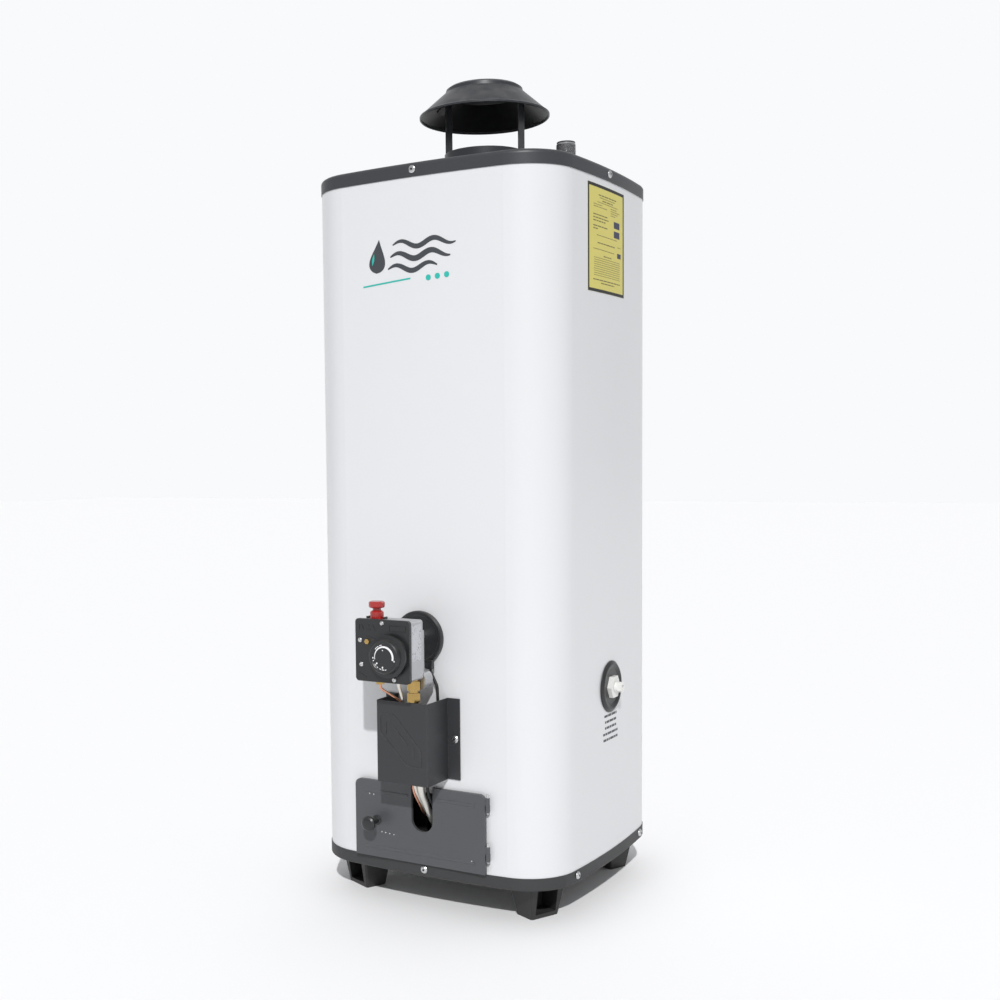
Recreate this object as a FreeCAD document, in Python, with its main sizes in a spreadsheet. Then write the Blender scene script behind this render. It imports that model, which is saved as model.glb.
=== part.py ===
import FreeCAD, Part
import math
import os
import Sketcher

# Gas storage water heater: a crowned square jacket on four feet, a vented hood on top,
# a gas control in front with its tubes going down behind a shield to the burner.
# Frame: origin on the floor under the flue, +Z up, the front faces -Y, +X to its right.

doc = FreeCAD.newDocument("WaterHeater")
sheet = doc.addObject("Spreadsheet::Sheet", "Sizes")

dimensions = {
    # jacket and its two covers
    "bodyWidth": 400, "bodyDepth": 400, "cornerRadius": 75, "crownRadius": 1400,
    "sheetWall": 1, "footHeight": 50, "trayHeight": 18, "jacketSeen": 949.5,
    "lidHeight": 20, "lidEdge": 6, "trayEdge": 3, "foamGap": 0.5,
    "intakeRadius": 70,
    # feet
    "footSpacingWide": 280, "footSpacingDeep": 258, "footTurn": -25, "footLong": 48,
    "footShort": 34, "footTaper": 8, "footChamfer": 2.5, "footWall": 4, "footLip": 6,
    # vent hood
    "collarRadius": 59, "collarHeight": 45, "collarFlange": 12, "legWidth": 19,
    "legThick": 1.5, "capRadius": 95.5, "capRim": 96.7, "capLip": 5, "capRise": 31,
    "capShoulder": 57.5, "capCrown": 8, "capWall": 1, "flueRadius": 38, "flueWall": 1.6,
    # water connections
    "nippleSpacing": 260, "nippleRadius": 13.35, "nippleWall": 2.9, "nippleHeight": 45.5,
    "linerRim": 2, "linerWall": 1.4, "coverClearance": 1.2,
    # tank, with the room left over its top
    "tankRadius": 160, "tankWall": 2.5, "skirtHeight": 185, "headSpace": 57.5, "headDome": 34,
    # burner door, standing just over the tray and proud of the face
    "doorLeft": 110, "doorRight": 98.5, "doorTall": 110.5, "doorWall": 1, "doorDepth": 5,
    "doorGap": 1.5, "doorProud": 5.5, "doorCorner": 9, "notchHalf": 17, "notchFloor": 46.1,
    "hingeBeside": 3.5, "hingeProud": 3.5, "pinRadius": 1.6, "knuckleRadius": 3,
    "knuckleLength": 10, "runningGap": 0.05, "upperHinge": 86.5, "lowerHinge": 18.5,
    "knobAcross": -74, "knobRise": 53.5, "knobRadius": 10.5, "knobStem": 4.5,
    "knobReach": 28,
    # doorway behind it, by how far the door laps over each edge
    "lapLeft": 12, "lapRight": 14.5, "lapLow": 10.5, "lapHigh": 9,
    # other openings in the jacket
    "valveAcross": -3, "valveRise": 321, "valveHole": 14,
    "drainAcross": -8, "drainRise": 239, "drainHole": 15,
    # tube shield, between the door and the gas control
    "shieldHalf": 40, "shieldReach": 58, "shieldFlange": 19, "shieldOverDoor": 15,
    "shieldUnderPlate": 33, "shieldWall": 1,
    # gas control, by its distances from its pipe and from the face
    "plateLeft": 45, "plateRight": 39, "plateBelow": 48, "plateAbove": 36,
    "plateReach": 100, "plateThick": 5, "plateCorner": 5, "castingReach": 62,
    "castingInset": 2, "dialAcross": 9, "dialBelow": 11.5, "dialRadius": 22,
    "dialSkirt": 28.5, "dialDepth": 12, "dialSeat": 26.5, "seatHeight": 5,
    "spindleRadius": 4, "buttonAcross": -22.5, "buttonReach": 81, "buttonHead": 11,
    "buttonWaist": 5.5, "buttonStem": 9.2, "buttonHeight": 24, "buttonTravel": 6,
    "inletRadius": 9.5, "inletDepth": 16, "inletReach": 79, "inletBelow": 27,
    "spudRadius": 10, "spudHex": 14, "escutcheonRadius": 37.5, "escutcheonDepth": 7,
    # tubes and leads
    "manifoldRadius": 5, "pilotTubeRadius": 2.4, "thermocoupleRadius": 1.6,
    "igniterRadius": 2.1,
    # burner, above the tray's floor
    "burnerRadius": 62, "burnerRise": 62,
    # drain
    "drainDish": 37, "drainReach": 19, "drainHex": 15, "drainTip": 7.5, "drainBore": 3.5,
    # rating label, below the lid
    "labelBelow": 9.5, "labelTall": 146, "labelFront": 82, "labelRear": 44, "filmWall": 0.25,
    # screws
    "screwHead": 5.5, "screwDome": 2.6, "screwShank": 2.1,
    "lidScrewFront": -7, "lidScrewSide": -12, "trayScrewStep": 118,
}

for row, (name, value) in enumerate(dimensions.items(), start=1):
    sheet.set(f"A{row}", name)
    sheet.set(f"B{row}", str(value))
    sheet.setAlias(f"B{row}", name)
doc.recompute()


class Size:
    # A length held as an expression of the sheet together with its present number.
    def __init__(self, text, number):
        self.text = text
        self.number = number

    def join(self, sign, other, number):
        return Size(f"({self.text} {sign} {other.text})", number)

    def __add__(self, other):
        other = asSize(other)
        return self.join("+", other, self.number + other.number)

    def __sub__(self, other):
        other = asSize(other)
        return self.join("-", other, self.number - other.number)

    def __mul__(self, other):
        other = asSize(other)
        return self.join("*", other, self.number * other.number)

    def __truediv__(self, other):
        other = asSize(other)
        return self.join("/", other, self.number / other.number)

    def __radd__(self, other):
        return asSize(other) + self

    def __rsub__(self, other):
        return asSize(other) - self

    def __rmul__(self, other):
        return asSize(other) * self

    def __neg__(self):
        return asSize(0) - self


def asSize(value):
    return value if isinstance(value, Size) else Size(f"{value:.6f}", float(value))


def size(name):
    return Size(f"Sizes.{name}", float(sheet.get(name)))


def root(value):
    return Size(f"sqrt({value.text})", math.sqrt(value.number))


def bind(thing, path, value):
    thing.setExpression(path, asSize(value).text)


def place(thing, across=0, deep=0, level=0, turn=None):
    at = [asSize(v) for v in (across, deep, level)]
    thing.Placement = FreeCAD.Placement(
        FreeCAD.Vector(*[v.number for v in at]), thing.Placement.Rotation)
    for letter, value in zip("xyz", at):
        bind(thing, f"Placement.Base.{letter}", value)
    if turn is not None:
        angle = asSize(turn)
        thing.Placement = FreeCAD.Placement(
            thing.Placement.Base,
            FreeCAD.Rotation(FreeCAD.Vector(0, 0, 1), angle.number))
        bind(thing, "Placement.Rotation.Angle", angle)
    return thing


nodes = []


def keep(thing, label):
    thing.Label = label
    nodes.append(thing)
    return thing


# Sketches on the body's own origin planes. On XZ a positive lift goes towards the
# front (-Y), on YZ towards the right (+X), on XY upwards.

def newBody(name):
    return doc.addObject("PartDesign::Body", name)


def newSketch(body, role, lift=0):
    sketch = body.newObject("Sketcher::SketchObject", body.Name + "Sketch")
    planes = [f for f in body.Origin.OriginFeatures if f.Role == role]
    sketch.AttachmentSupport = [(planes[0], "")]
    sketch.MapMode = "FlatFace"
    bind(sketch, "AttachmentOffset.Base.z", lift)
    return sketch


def fix(sketch, kind, places, value):
    value = asSize(value)
    index = sketch.addConstraint(Sketcher.Constraint(kind, *places, value.number))
    if "Sizes." in value.text:
        sketch.setExpression(f"Constraints[{index}]", value.text)


def polygon(sketch, points):
    points = [(asSize(a), asSize(b)) for a, b in points]
    corners = [FreeCAD.Vector(a.number, b.number, 0) for a, b in points]
    first = sketch.GeometryCount
    count = len(corners)
    for i in range(count):
        sketch.addGeometry(Part.LineSegment(corners[i], corners[(i + 1) % count]))
    for i in range(count):
        sketch.addConstraint(Sketcher.Constraint(
            "Coincident", first + i, 2, first + (i + 1) % count, 1))
    for i, (a, b) in enumerate(points):
        fix(sketch, "DistanceX", (-1, 1, first + i, 1), a)
        fix(sketch, "DistanceY", (-1, 1, first + i, 1), b)


def rectangle(sketch, left, low, right, high):
    polygon(sketch, [(left, low), (right, low), (right, high), (left, high)])


def circle(sketch, across, up, radius):
    across, up, radius = asSize(across), asSize(up), asSize(radius)
    centre = FreeCAD.Vector(across.number, up.number, 0)
    index = sketch.addGeometry(
        Part.Circle(centre, FreeCAD.Vector(0, 0, 1), radius.number))
    fix(sketch, "DistanceX", (-1, 1, index, 3), across)
    fix(sketch, "DistanceY", (-1, 1, index, 3), up)
    fix(sketch, "Radius", (index,), radius)


def crownedLoop(sketch, inset):
    # Four shallow side arcs joined by four corner arcs, tangent all round.
    crown = size("crownRadius") - inset
    corner = size("cornerRadius") - inset
    sideShift = size("crownRadius") - size("bodyWidth") / 2
    frontShift = size("crownRadius") - size("bodyDepth") / 2
    w, d = sideShift.number, frontShift.number
    big, small = crown.number, corner.number
    span = math.hypot(w, d)
    reach = math.sqrt((big - small) ** 2 - span ** 2 / 4)
    p = -w / 2 + d / span * reach
    q = -d / 2 + w / span * reach
    aroundFront = math.atan2(p, q + d)
    aroundSide = math.atan2(q, p + w)
    up = FreeCAD.Vector(0, 0, 1)
    half = math.pi / 2
    pieces = [
        ((-w, 0), big, -aroundSide, aroundSide),
        ((p, q), small, aroundSide, half - aroundFront),
        ((0, -d), big, half - aroundFront, half + aroundFront),
        ((-p, q), small, half + aroundFront, math.pi - aroundSide),
        ((w, 0), big, math.pi - aroundSide, math.pi + aroundSide),
        ((-p, -q), small, math.pi + aroundSide, 3 * half - aroundFront),
        ((0, d), big, 3 * half - aroundFront, 3 * half + aroundFront),
        ((p, -q), small, 3 * half + aroundFront, 4 * half - aroundSide),
    ]
    first = sketch.GeometryCount
    for (x, y), radius, start, end in pieces:
        ring = Part.Circle(FreeCAD.Vector(x, y, 0), up, radius)
        sketch.addGeometry(Part.ArcOfCircle(ring, start, end))
    for i in range(8):
        sketch.addConstraint(Sketcher.Constraint(
            "Tangent", first + i, 2, first + (i + 1) % 8, 1))
    for i in range(8):
        fix(sketch, "Radius", (first + i,), corner if i % 2 else crown)
    centres = {0: (-sideShift, 0), 2: (0, -frontShift), 4: (sideShift, 0), 6: (0, frontShift)}
    for i, (x, y) in centres.items():
        fix(sketch, "DistanceX", (-1, 1, first + i, 3), x)
        fix(sketch, "DistanceY", (-1, 1, first + i, 3), y)


def feature(body, kind, sketch):
    made = body.newObject(f"PartDesign::{kind}", body.Name + kind)
    made.Profile = (sketch, [""])
    sketch.Visibility = False
    return made


def pad(body, sketch, length, reverse=False):
    made = feature(body, "Pad", sketch)
    bind(made, "Length", length)
    made.Reversed = reverse
    return made


def pocket(body, sketch, length, reverse=False):
    made = feature(body, "Pocket", sketch)
    bind(made, "Length", length)
    made.Reversed = reverse
    return made


def revolve(body, sketch, axis="V_Axis"):
    made = feature(body, "Revolution", sketch)
    made.ReferenceAxis = (sketch, [axis])
    made.Angle = 360
    return made


def round_(body, base, radius, wanted):
    doc.recompute()
    names = [f"Edge{i}" for i, edge in enumerate(base.Shape.Edges, start=1) if wanted(edge)]
    made = body.newObject("PartDesign::Fillet", body.Name + "Fillet")
    made.Base = (base, names)
    bind(made, "Radius", radius)
    return made


def alongY(edge):
    ends = [v.Point for v in edge.Vertexes]
    return len(ends) == 2 and abs((ends[1] - ends[0]).y) > 0.99 * edge.Length


def alongZ(edge):
    ends = [v.Point for v in edge.Vertexes]
    return len(ends) == 2 and abs((ends[1] - ends[0]).z) > 0.99 * edge.Length


def turned(name, points, axis="V_Axis", role="XZ_Plane"):
    body = newBody(name)
    sketch = newSketch(body, role)
    polygon(sketch, points)
    revolve(body, sketch, axis)
    return body


def block(name, left, front, low, wide, deep, tall):
    made = doc.addObject("Part::Box", name)
    bind(made, "Length", wide)
    bind(made, "Width", deep)
    bind(made, "Height", tall)
    return place(made, left, front, low)


def rod(name, across, deep, low, radius, length, axis="Z"):
    made = doc.addObject("Part::Cylinder", name)
    bind(made, "Radius", radius)
    bind(made, "Height", length)
    turns = {
        "Z": FreeCAD.Rotation(),
        "-Y": FreeCAD.Rotation(FreeCAD.Vector(1, 0, 0), 90),
        "+Y": FreeCAD.Rotation(FreeCAD.Vector(1, 0, 0), -90),
        "X": FreeCAD.Rotation(FreeCAD.Vector(0, 1, 0), 90),
    }
    made.Placement = FreeCAD.Placement(FreeCAD.Vector(), turns[axis])
    return place(made, across, deep, low)


def cut(name, base, *tools):
    for i, tool in enumerate(tools):
        last = i == len(tools) - 1
        made = doc.addObject("Part::Cut", name if last else f"{name}Step{i}")
        made.Base = base
        made.Tool = tool
        base = made
    return base


def fuse(name, *pieces):
    made = doc.addObject("Part::MultiFuse", name)
    made.Shapes = list(pieces)
    made.Refine = True
    return made


def hexagon(sketch, radius):
    # Radius is across the flats, halved.
    corner = radius * (2 / math.sqrt(3))
    polygon(sketch, [
        (corner * math.cos(math.radians(60 * i)), corner * math.sin(math.radians(60 * i)))
        for i in range(6)])


# Levels shared by many pieces.
sheetWall = size("sheetWall")
trayFloor = size("footHeight")
trayTop = trayFloor + size("trayHeight")
jacketTop = trayTop + size("jacketSeen")
lidTop = jacketTop + size("lidHeight")
lidUnder = lidTop - sheetWall
faceFront = size("bodyDepth") / 2
faceRight = size("bodyWidth") / 2
flueOut = size("flueRadius")
fireboxTop = trayFloor + sheetWall + size("skirtHeight")
tankOut = size("tankRadius")
tankTop = jacketTop - size("headSpace")
doorLow = trayTop + size("doorGap")
doorHigh = doorLow + size("doorTall")
doorwayLeft = size("doorLeft") - size("lapLeft")
doorwayRight = size("doorRight") - size("lapRight")
doorwayLow = doorLow + size("lapLow")
doorwayHigh = doorHigh - size("lapHigh")
valveAcross = size("valveAcross")
valveLevel = trayTop + size("valveRise")
plateLow = valveLevel - size("plateBelow")
plateHigh = valveLevel + size("plateAbove")
shieldLow = doorHigh + size("shieldOverDoor")
shieldHigh = plateLow - size("shieldUnderPlate")
drainAcross = size("drainAcross")
drainLevel = trayTop + size("drainRise")
burnerLevel = trayFloor + size("burnerRise")


def crownDrop(distance):
    # How far the crowned face falls back at a distance from its middle.
    crown = size("crownRadius")
    return crown - root(crown * crown - distance * distance)


# ---- jacket, lid and tray ----

def crownedBlock(name, inset, low, high):
    body = newBody(name)
    sketch = newSketch(body, "XY_Plane", low)
    crownedLoop(sketch, inset)
    return body, pad(body, sketch, high - low)


def crownedRing(name, outer, inner, low, high):
    body = newBody(name)
    sketch = newSketch(body, "XY_Plane", low)
    crownedLoop(sketch, outer)
    crownedLoop(sketch, inner)
    pad(body, sketch, high - low)
    return body


jacket = crownedRing("jacketBlank", asSize(0), sheetWall, trayFloor + size("trayEdge"),
                     lidTop - size("lidEdge"))
sketch = newSketch(jacket, "XZ_Plane", faceFront + 10)
rectangle(sketch, -doorwayLeft, doorwayLow, doorwayRight, doorwayHigh)
circle(sketch, valveAcross, valveLevel, size("valveHole"))
pocket(jacket, sketch, 40)
sketch = newSketch(jacket, "YZ_Plane", faceRight + 10)
circle(sketch, drainAcross, drainLevel, size("drainHole"))
pocket(jacket, sketch, 40)

def atLevel(level):
    return lambda edge: all(abs(v.Point.z - level.number) < 1e-4 for v in edge.Vertexes)


def cover(name, low, high, edgeLevel, edgeRadius, floorLow, floorHigh):
    shell, base = crownedBlock(name + "Shell", -sheetWall, low, high)
    round_(shell, base, edgeRadius, atLevel(edgeLevel))
    hollow, base = crownedBlock(name + "Hollow", asSize(0), floorLow, floorHigh)
    inner = floorHigh if edgeLevel is high else floorLow
    round_(hollow, base, edgeRadius - sheetWall, atLevel(inner))
    return shell, hollow


lidShell, lidHollow = cover("top_cover", jacketTop, lidTop, lidTop, size("lidEdge"),
                            jacketTop - 5, lidUnder)
flueHole = rod("lidFlueHole", 0, 0, jacketTop, size("flueRadius") + size("coverClearance"), 60)
pipeHoles = [
    rod(f"lidPipeHole{side}", sign * size("nippleSpacing") / 2, 0, jacketTop,
        size("nippleRadius") + size("coverClearance"), 60)
    for side, sign in (("Right", 1), ("Left", -1))]

trayShell, trayHollow = cover("bottom_tray", trayFloor, trayTop, trayFloor, size("trayEdge"),
                              trayFloor + sheetWall, trayTop + 5)
intake = rod("trayIntake", 0, 0, trayFloor - 5, size("intakeRadius"), 20)


# ---- screws: domed heads whose short shanks go through drilled sheets ----

facingTurns = {
    "front": FreeCAD.Rotation(FreeCAD.Vector(1, 0, 0), 90),
    "rear": FreeCAD.Rotation(FreeCAD.Vector(1, 0, 0), -90),
    "right": FreeCAD.Rotation(FreeCAD.Vector(0, 1, 0), 90),
    "left": FreeCAD.Rotation(FreeCAD.Vector(0, 1, 0), -90),
}


def screw(name, facing, across, deep, level, shank):
    head = size("screwHead")
    rise = size("screwDome")
    stem = size("screwShank")
    made = turned(name, [
        (0, -shank), (stem, -shank), (stem, 0), (head, 0), (head * 0.94, rise * 0.45),
        (head * 0.7, rise * 0.85), (head * 0.3, rise), (head * 0.24, rise * 0.7),
        (0, rise * 0.7)])
    made.Placement = FreeCAD.Placement(FreeCAD.Vector(), facingTurns[facing])
    return place(made, across, deep, level)


def drill(name, facing, across, deep, level):
    made = rod(name, 0, 0, 0, size("screwShank") + 0.05, 16)
    doc.recompute()
    made.Placement = FreeCAD.Placement(FreeCAD.Vector(), facingTurns[facing])
    back = {"front": (0, 8), "rear": (0, -8), "right": (-8, 0), "left": (8, 0)}[facing]
    return place(made, across + back[0], deep + back[1], level)


coverOut = sheetWall + 0.02
lidScrewLevel = jacketTop + size("lidHeight") / 2
trayScrewLevel = trayFloor + size("trayHeight") * 0.6
sideStep = size("trayScrewStep")
lidFront = size("lidScrewFront")
lidSide = size("lidScrewSide")
sideOut = faceRight + coverOut - crownDrop(sideStep - size("screwHead"))
spots = {
    "lid_screws": [
        ("front", lidFront, -faceFront - coverOut, lidScrewLevel),
        ("rear", asSize(0), faceFront + coverOut, lidScrewLevel),
        ("right", faceRight + coverOut, lidSide, lidScrewLevel),
        ("left", -faceRight - coverOut, asSize(0), lidScrewLevel)],
    "tray_screws": [
        ("front", asSize(0), -faceFront - coverOut, trayScrewLevel),
        ("rear", asSize(0), faceFront + coverOut, trayScrewLevel),
        ("right", sideOut, -sideStep, trayScrewLevel),
        ("right", sideOut, sideStep, trayScrewLevel),
        ("left", -sideOut, -sideStep, trayScrewLevel),
        ("left", -sideOut, sideStep, trayScrewLevel)],
}
drillings = {}
for label, places in spots.items():
    screws = [screw(f"{label}Part{i}", *spot, sheetWall * 2 + 0.2)
              for i, spot in enumerate(places)]
    keep(fuse(label + "Set", *screws), label)
    drillings[label] = fuse(label + "Holes", *[
        drill(f"{label}Drill{i}", *spot) for i, spot in enumerate(places)])
keep(cut("top_cover", lidShell, lidHollow, flueHole, *pipeHoles, drillings["lid_screws"]),
     "top_cover")
keep(cut("bottom_tray", trayShell, trayHollow, intake, drillings["tray_screws"]),
     "bottom_tray")

shieldScrewAcross = size("shieldHalf") + size("shieldFlange") * 0.6
shieldScrewLevel = (shieldLow + shieldHigh) / 2
flangeOut = faceFront + 0.1 + size("shieldWall")
shieldSpots = [("front", sign * shieldScrewAcross, -flangeOut - 0.02, shieldScrewLevel)
               for sign in (-1, 1)]
shieldScrews = [screw(f"shieldScrew{i}", *spot, size("shieldWall") + 2)
                for i, spot in enumerate(shieldSpots)]
keep(fuse("shieldScrewSet", *shieldScrews), "shield_screws")
drillings["shield"] = fuse("shieldHoles", *[
    drill(f"shieldDrill{i}", *spot) for i, spot in enumerate(shieldSpots)])
keep(cut("outer_jacket", jacket, *drillings.values()), "outer_jacket")


# ---- feet: tapered blocks, each with a pocket in its outer long side ----

def foot(label, right, rear, turn):
    body = newBody(label)
    taper = size("footTaper")
    sketches = []
    for level, extra in ((0, asSize(0)), (size("footHeight"), taper)):
        sketch = newSketch(body, "XY_Plane", level)
        wide = size("footLong") / 2 + extra
        deep = size("footShort") / 2 + extra
        cham = size("footChamfer")
        polygon(sketch, [
            (-wide + cham, -deep), (wide - cham, -deep), (wide, -deep + cham),
            (wide, deep - cham), (wide - cham, deep), (-wide + cham, deep),
            (-wide, deep - cham), (-wide, -deep + cham)])
        sketches.append(sketch)
    loft = body.newObject("PartDesign::AdditiveLoft", label + "Loft")
    loft.Profile = (sketches[0], [""])
    loft.Sections = [(sketches[1], [""])]
    loft.Ruled = True
    sketch = newSketch(body, "XZ_Plane", size("footShort") / 2 + taper + 2)
    lip = size("footLip")
    rectangle(sketch, -size("footLong") / 2 + lip, lip,
              size("footLong") / 2 - lip, size("footHeight") - 4)
    pocket(body, sketch, size("footShort") + taper - size("footWall"))
    place(body, right * size("footSpacingWide") / 2, rear * size("footSpacingDeep") / 2, 0,
          size("footTurn") + turn)
    keep(body, label)


foot("foot_front_left", -1, -1, 0)
foot("foot_front_right", 1, -1, 90)
foot("foot_rear_right", 1, 1, 180)
foot("foot_rear_left", -1, 1, 270)


# ---- vent hood ----

collarOut = size("collarRadius")
collarIn = collarOut - sheetWall
collarTop = lidTop + size("collarHeight")
keep(turned("flue_collar", [
    (collarIn, lidTop), (collarOut + size("collarFlange"), lidTop),
    (collarOut + size("collarFlange"), lidTop + sheetWall), (collarOut, lidTop + sheetWall),
    (collarOut, collarTop), (collarIn, collarTop)]), "flue_collar")

rimLow = lidTop + size("capRim")
lipTop = rimLow + size("capLip")
shoulder = lipTop + size("capRise")
crownTop = shoulder + size("capCrown")
capOut = size("capRadius")
capIn = size("capShoulder")
capWall = size("capWall")
coneRun = capOut - 2.5 - capIn
coneLength = root(coneRun * coneRun + size("capRise") * size("capRise"))
coneDrop = capWall * coneLength / coneRun
topInset = 6
cap = newBody("hood_cap")
sketch = newSketch(cap, "XZ_Plane")
polygon(sketch, [
    (0, crownTop), (capIn - topInset, crownTop), (capIn - 1.5, crownTop - 3), (capIn, shoulder),
    (capOut - 2.5, lipTop), (capOut, lipTop - 1.5), (capOut, rimLow + 1), (capOut - 1, rimLow),
    (capOut - 2.2, rimLow + 1), (capOut - 2.2, lipTop - 1.5), (capOut - 3.2, lipTop - 0.9),
    (capIn - capWall, shoulder - coneDrop + 0.3), (capIn - 1.5 - capWall, crownTop - 3.5),
    (capIn - topInset - 0.4, crownTop - capWall), (0, crownTop - capWall)])
revolve(cap, sketch)
keep(cap, "hood_cap")


def coneInside(across):
    # Level of the cone's under face over a leg's corner at a distance across.
    radius = root(across * across + size("legWidth") * size("legWidth") / 4)
    return shoulder - coneDrop - (radius - capIn) * size("capRise") / coneRun


for label, sign in (("hood_leg_right", 1), ("hood_leg_left", -1)):
    leg = newBody(label)
    sketch = newSketch(leg, "XZ_Plane", -size("legWidth") / 2)
    thick = size("legThick")
    tab = 14
    points = [
        (collarOut, lidTop + sheetWall + 2), (collarOut + thick, lidTop + sheetWall + 2),
        (collarOut + thick, coneInside(collarOut + thick) - thick * 1.6),
        (collarOut + thick + tab, coneInside(collarOut + thick + tab) - thick * 1.4),
        (collarOut + thick + tab, coneInside(collarOut + thick + tab) - 0.7),
        (collarOut, coneInside(collarOut) - 0.7)]
    polygon(sketch, [(sign * a, b) for a, b in points])
    pad(leg, sketch, size("legWidth"))
    keep(leg, label)

flueTop = lidTop + 16
keep(turned("flue_tube", [
    (flueOut - size("flueWall"), fireboxTop + 8), (flueOut, fireboxTop + 8),
    (flueOut, flueTop), (flueOut - size("flueWall"), flueTop)]), "flue_tube")

# The baffle is a strip folded to and fro inside the flue to slow the gas.
baffle = newBody("flue_baffle")
sketch = newSketch(baffle, "XZ_Plane", -15)
folds = 10
swing = flueOut - size("flueWall") - 10
foldRise = (flueTop - 30 - fireboxTop) / folds
side = [((-1) ** i * swing, fireboxTop + 20 + foldRise * i) for i in range(folds)]
polygon(sketch, side + [(a + 3, b) for a, b in reversed(side)])
pad(baffle, sketch, 30)
keep(baffle, "flue_baffle")


# ---- tank, its fittings and the foam around it ----

wall = size("tankWall")
tankIn = tankOut - wall
dome = size("headDome")
flueRim = flueOut + 0.2
tankBlank = turned("tankBlank", [
    (tankOut, fireboxTop), (tankOut, tankTop - dome), (tankOut - 22, tankTop - 8),
    (flueRim, tankTop), (flueRim, tankTop - wall), (tankOut - 23, tankTop - 8 - wall),
    (tankIn, tankTop - dome - 1), (tankIn, fireboxTop + 22), (flueRim, fireboxTop + 40 + wall),
    (flueRim, fireboxTop + 40), (tankIn - 1, fireboxTop + 16), (tankIn, fireboxTop)])
nippleAcross = size("nippleSpacing") / 2
nippleOut = size("nippleRadius")
nippleIn = nippleOut - size("nippleWall")
nippleTop = lidTop + size("nippleHeight") - size("linerRim")
nippleFoot = tankTop - 26
linerFoot = nippleTop - 25
anodeDeep = 108
spudOut = size("spudRadius")
drainPipe = asSize(10)
gap = asSize(0.2)
tankHoles = [
    rod("tankHoleRight", nippleAcross, 0, nippleFoot - 5, nippleOut + gap, 60),
    rod("tankHoleLeft", -nippleAcross, 0, nippleFoot - 5, nippleOut + gap, 60),
    rod("tankHoleAnode", 0, anodeDeep, nippleFoot - 5, 9.7, 60),
    rod("tankHoleSpud", valveAcross, -tankOut + 25, valveLevel, spudOut + gap, 60, "-Y"),
    rod("tankHoleDrain", tankOut - 25, drainAcross, drainLevel, drainPipe + gap, 60, "X")]
keep(cut("tank_shell", tankBlank, fuse("tankHoles", *tankHoles)), "tank_shell")

for label, sign in (("cold_water_nipple", 1), ("hot_water_nipple", -1)):
    # The pipe is a shade slimmer below the lid than along its free end.
    pipe = turned(label, [
        (nippleIn, nippleFoot), (nippleOut - 0.3, nippleFoot), (nippleOut - 0.3, lidTop + 3),
        (nippleOut, lidTop + 3), (nippleOut, nippleTop), (nippleIn, nippleTop)])
    keep(place(pipe, sign * nippleAcross), label)
    linerOut = nippleIn - 0.1
    linerIn = linerOut - size("linerWall")
    rimOut = nippleOut - 0.1
    liner = turned(label.replace("water_nipple", "liner"), [
        (linerIn, linerFoot), (linerOut, linerFoot), (linerOut, nippleTop),
        (rimOut, nippleTop), (rimOut, nippleTop + size("linerRim") - 0.6),
        (rimOut - 0.6, nippleTop + size("linerRim")), (linerIn, nippleTop + size("linerRim"))])
    keep(place(liner, sign * nippleAcross), label.replace("water_nipple", "liner"))

dipOut = nippleIn - 0.6
dip = turned("dip_tube", [(dipOut - 1.5, fireboxTop + 120), (dipOut, fireboxTop + 120),
                          (dipOut, linerFoot - 0.2), (dipOut - 1.5, linerFoot - 0.2)])
keep(place(dip, nippleAcross), "dip_tube")

anode = newBody("anode_rod")
sketch = newSketch(anode, "XY_Plane", tankTop - 480)
circle(sketch, 0, 0, 9.5)
pad(anode, sketch, 492)
sketch = newSketch(anode, "XY_Plane", tankTop + 0.5)
hexagon(sketch, asSize(13))
pad(anode, sketch, 10)
keep(place(anode, 0, anodeDeep), "anode_rod")

foamInset = sheetWall + size("foamGap")
foamBlock, base = crownedBlock("foamBlock", foamInset, fireboxTop, lidUnder - 2)
foamCuts = [
    rod("foamTank", 0, 0, fireboxTop - 5, tankOut + size("foamGap"), tankTop - fireboxTop + 7),
    rod("foamFlue", 0, 0, tankTop - 5, flueOut + 0.5, 120),
    rod("foamPipeRight", nippleAcross, 0, tankTop - 5, nippleOut + 0.5, 120),
    rod("foamPipeLeft", -nippleAcross, 0, tankTop - 5, nippleOut + 0.5, 120),
    rod("foamAnode", 0, anodeDeep, tankTop - 5, 16, 22),
    rod("foamSpud", valveAcross, -tankOut + 10, valveLevel, spudOut + 0.5,
        faceFront - tankOut + 20, "-Y"),
    rod("foamDrain", tankOut - 10, drainAcross, drainLevel, drainPipe + 0.5,
        faceRight - tankOut + 20, "X")]
keep(cut("insulation", foamBlock, fuse("foamCuts", *foamCuts)), "insulation")


# ---- firebox skirt, inner door and burner ----

skirt = turned("skirtBlank", [
    (tankIn, trayFloor + sheetWall), (tankOut, trayFloor + sheetWall),
    (tankOut, fireboxTop), (tankIn, fireboxTop)])
skirtMouth = block("skirtMouth", -doorwayLeft + 18, -tankOut - 10, doorwayLow + 4,
                   doorwayLeft + doorwayRight - 22, 70, doorwayHigh - doorwayLow - 5)
keep(cut("tank_skirt", skirt, skirtMouth), "tank_skirt")

panelIn = tankOut + 0.6
panelOut = panelIn + 1.2
panelHigh = doorwayHigh + 3
panel = turned("innerDoorRing", [
    (panelIn, doorwayLow), (panelOut, doorwayLow), (panelOut, panelHigh), (panelIn, panelHigh)])
panelSpan = block("innerDoorSpan", -doorwayLeft + 10, -tankOut - 10, doorwayLow - 5,
                  doorwayLeft + doorwayRight - 6, 70, panelHigh - doorwayLow + 10)
panelSlot = block("innerDoorSlot", -17, -tankOut - 10, burnerLevel - 28, 40, 30, 68)
panelPart = doc.addObject("Part::Common", "innerDoorPart")
panelPart.Base = panel
panelPart.Tool = panelSpan
keep(cut("inner_door", panelPart, panelSlot), "inner_door")

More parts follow.
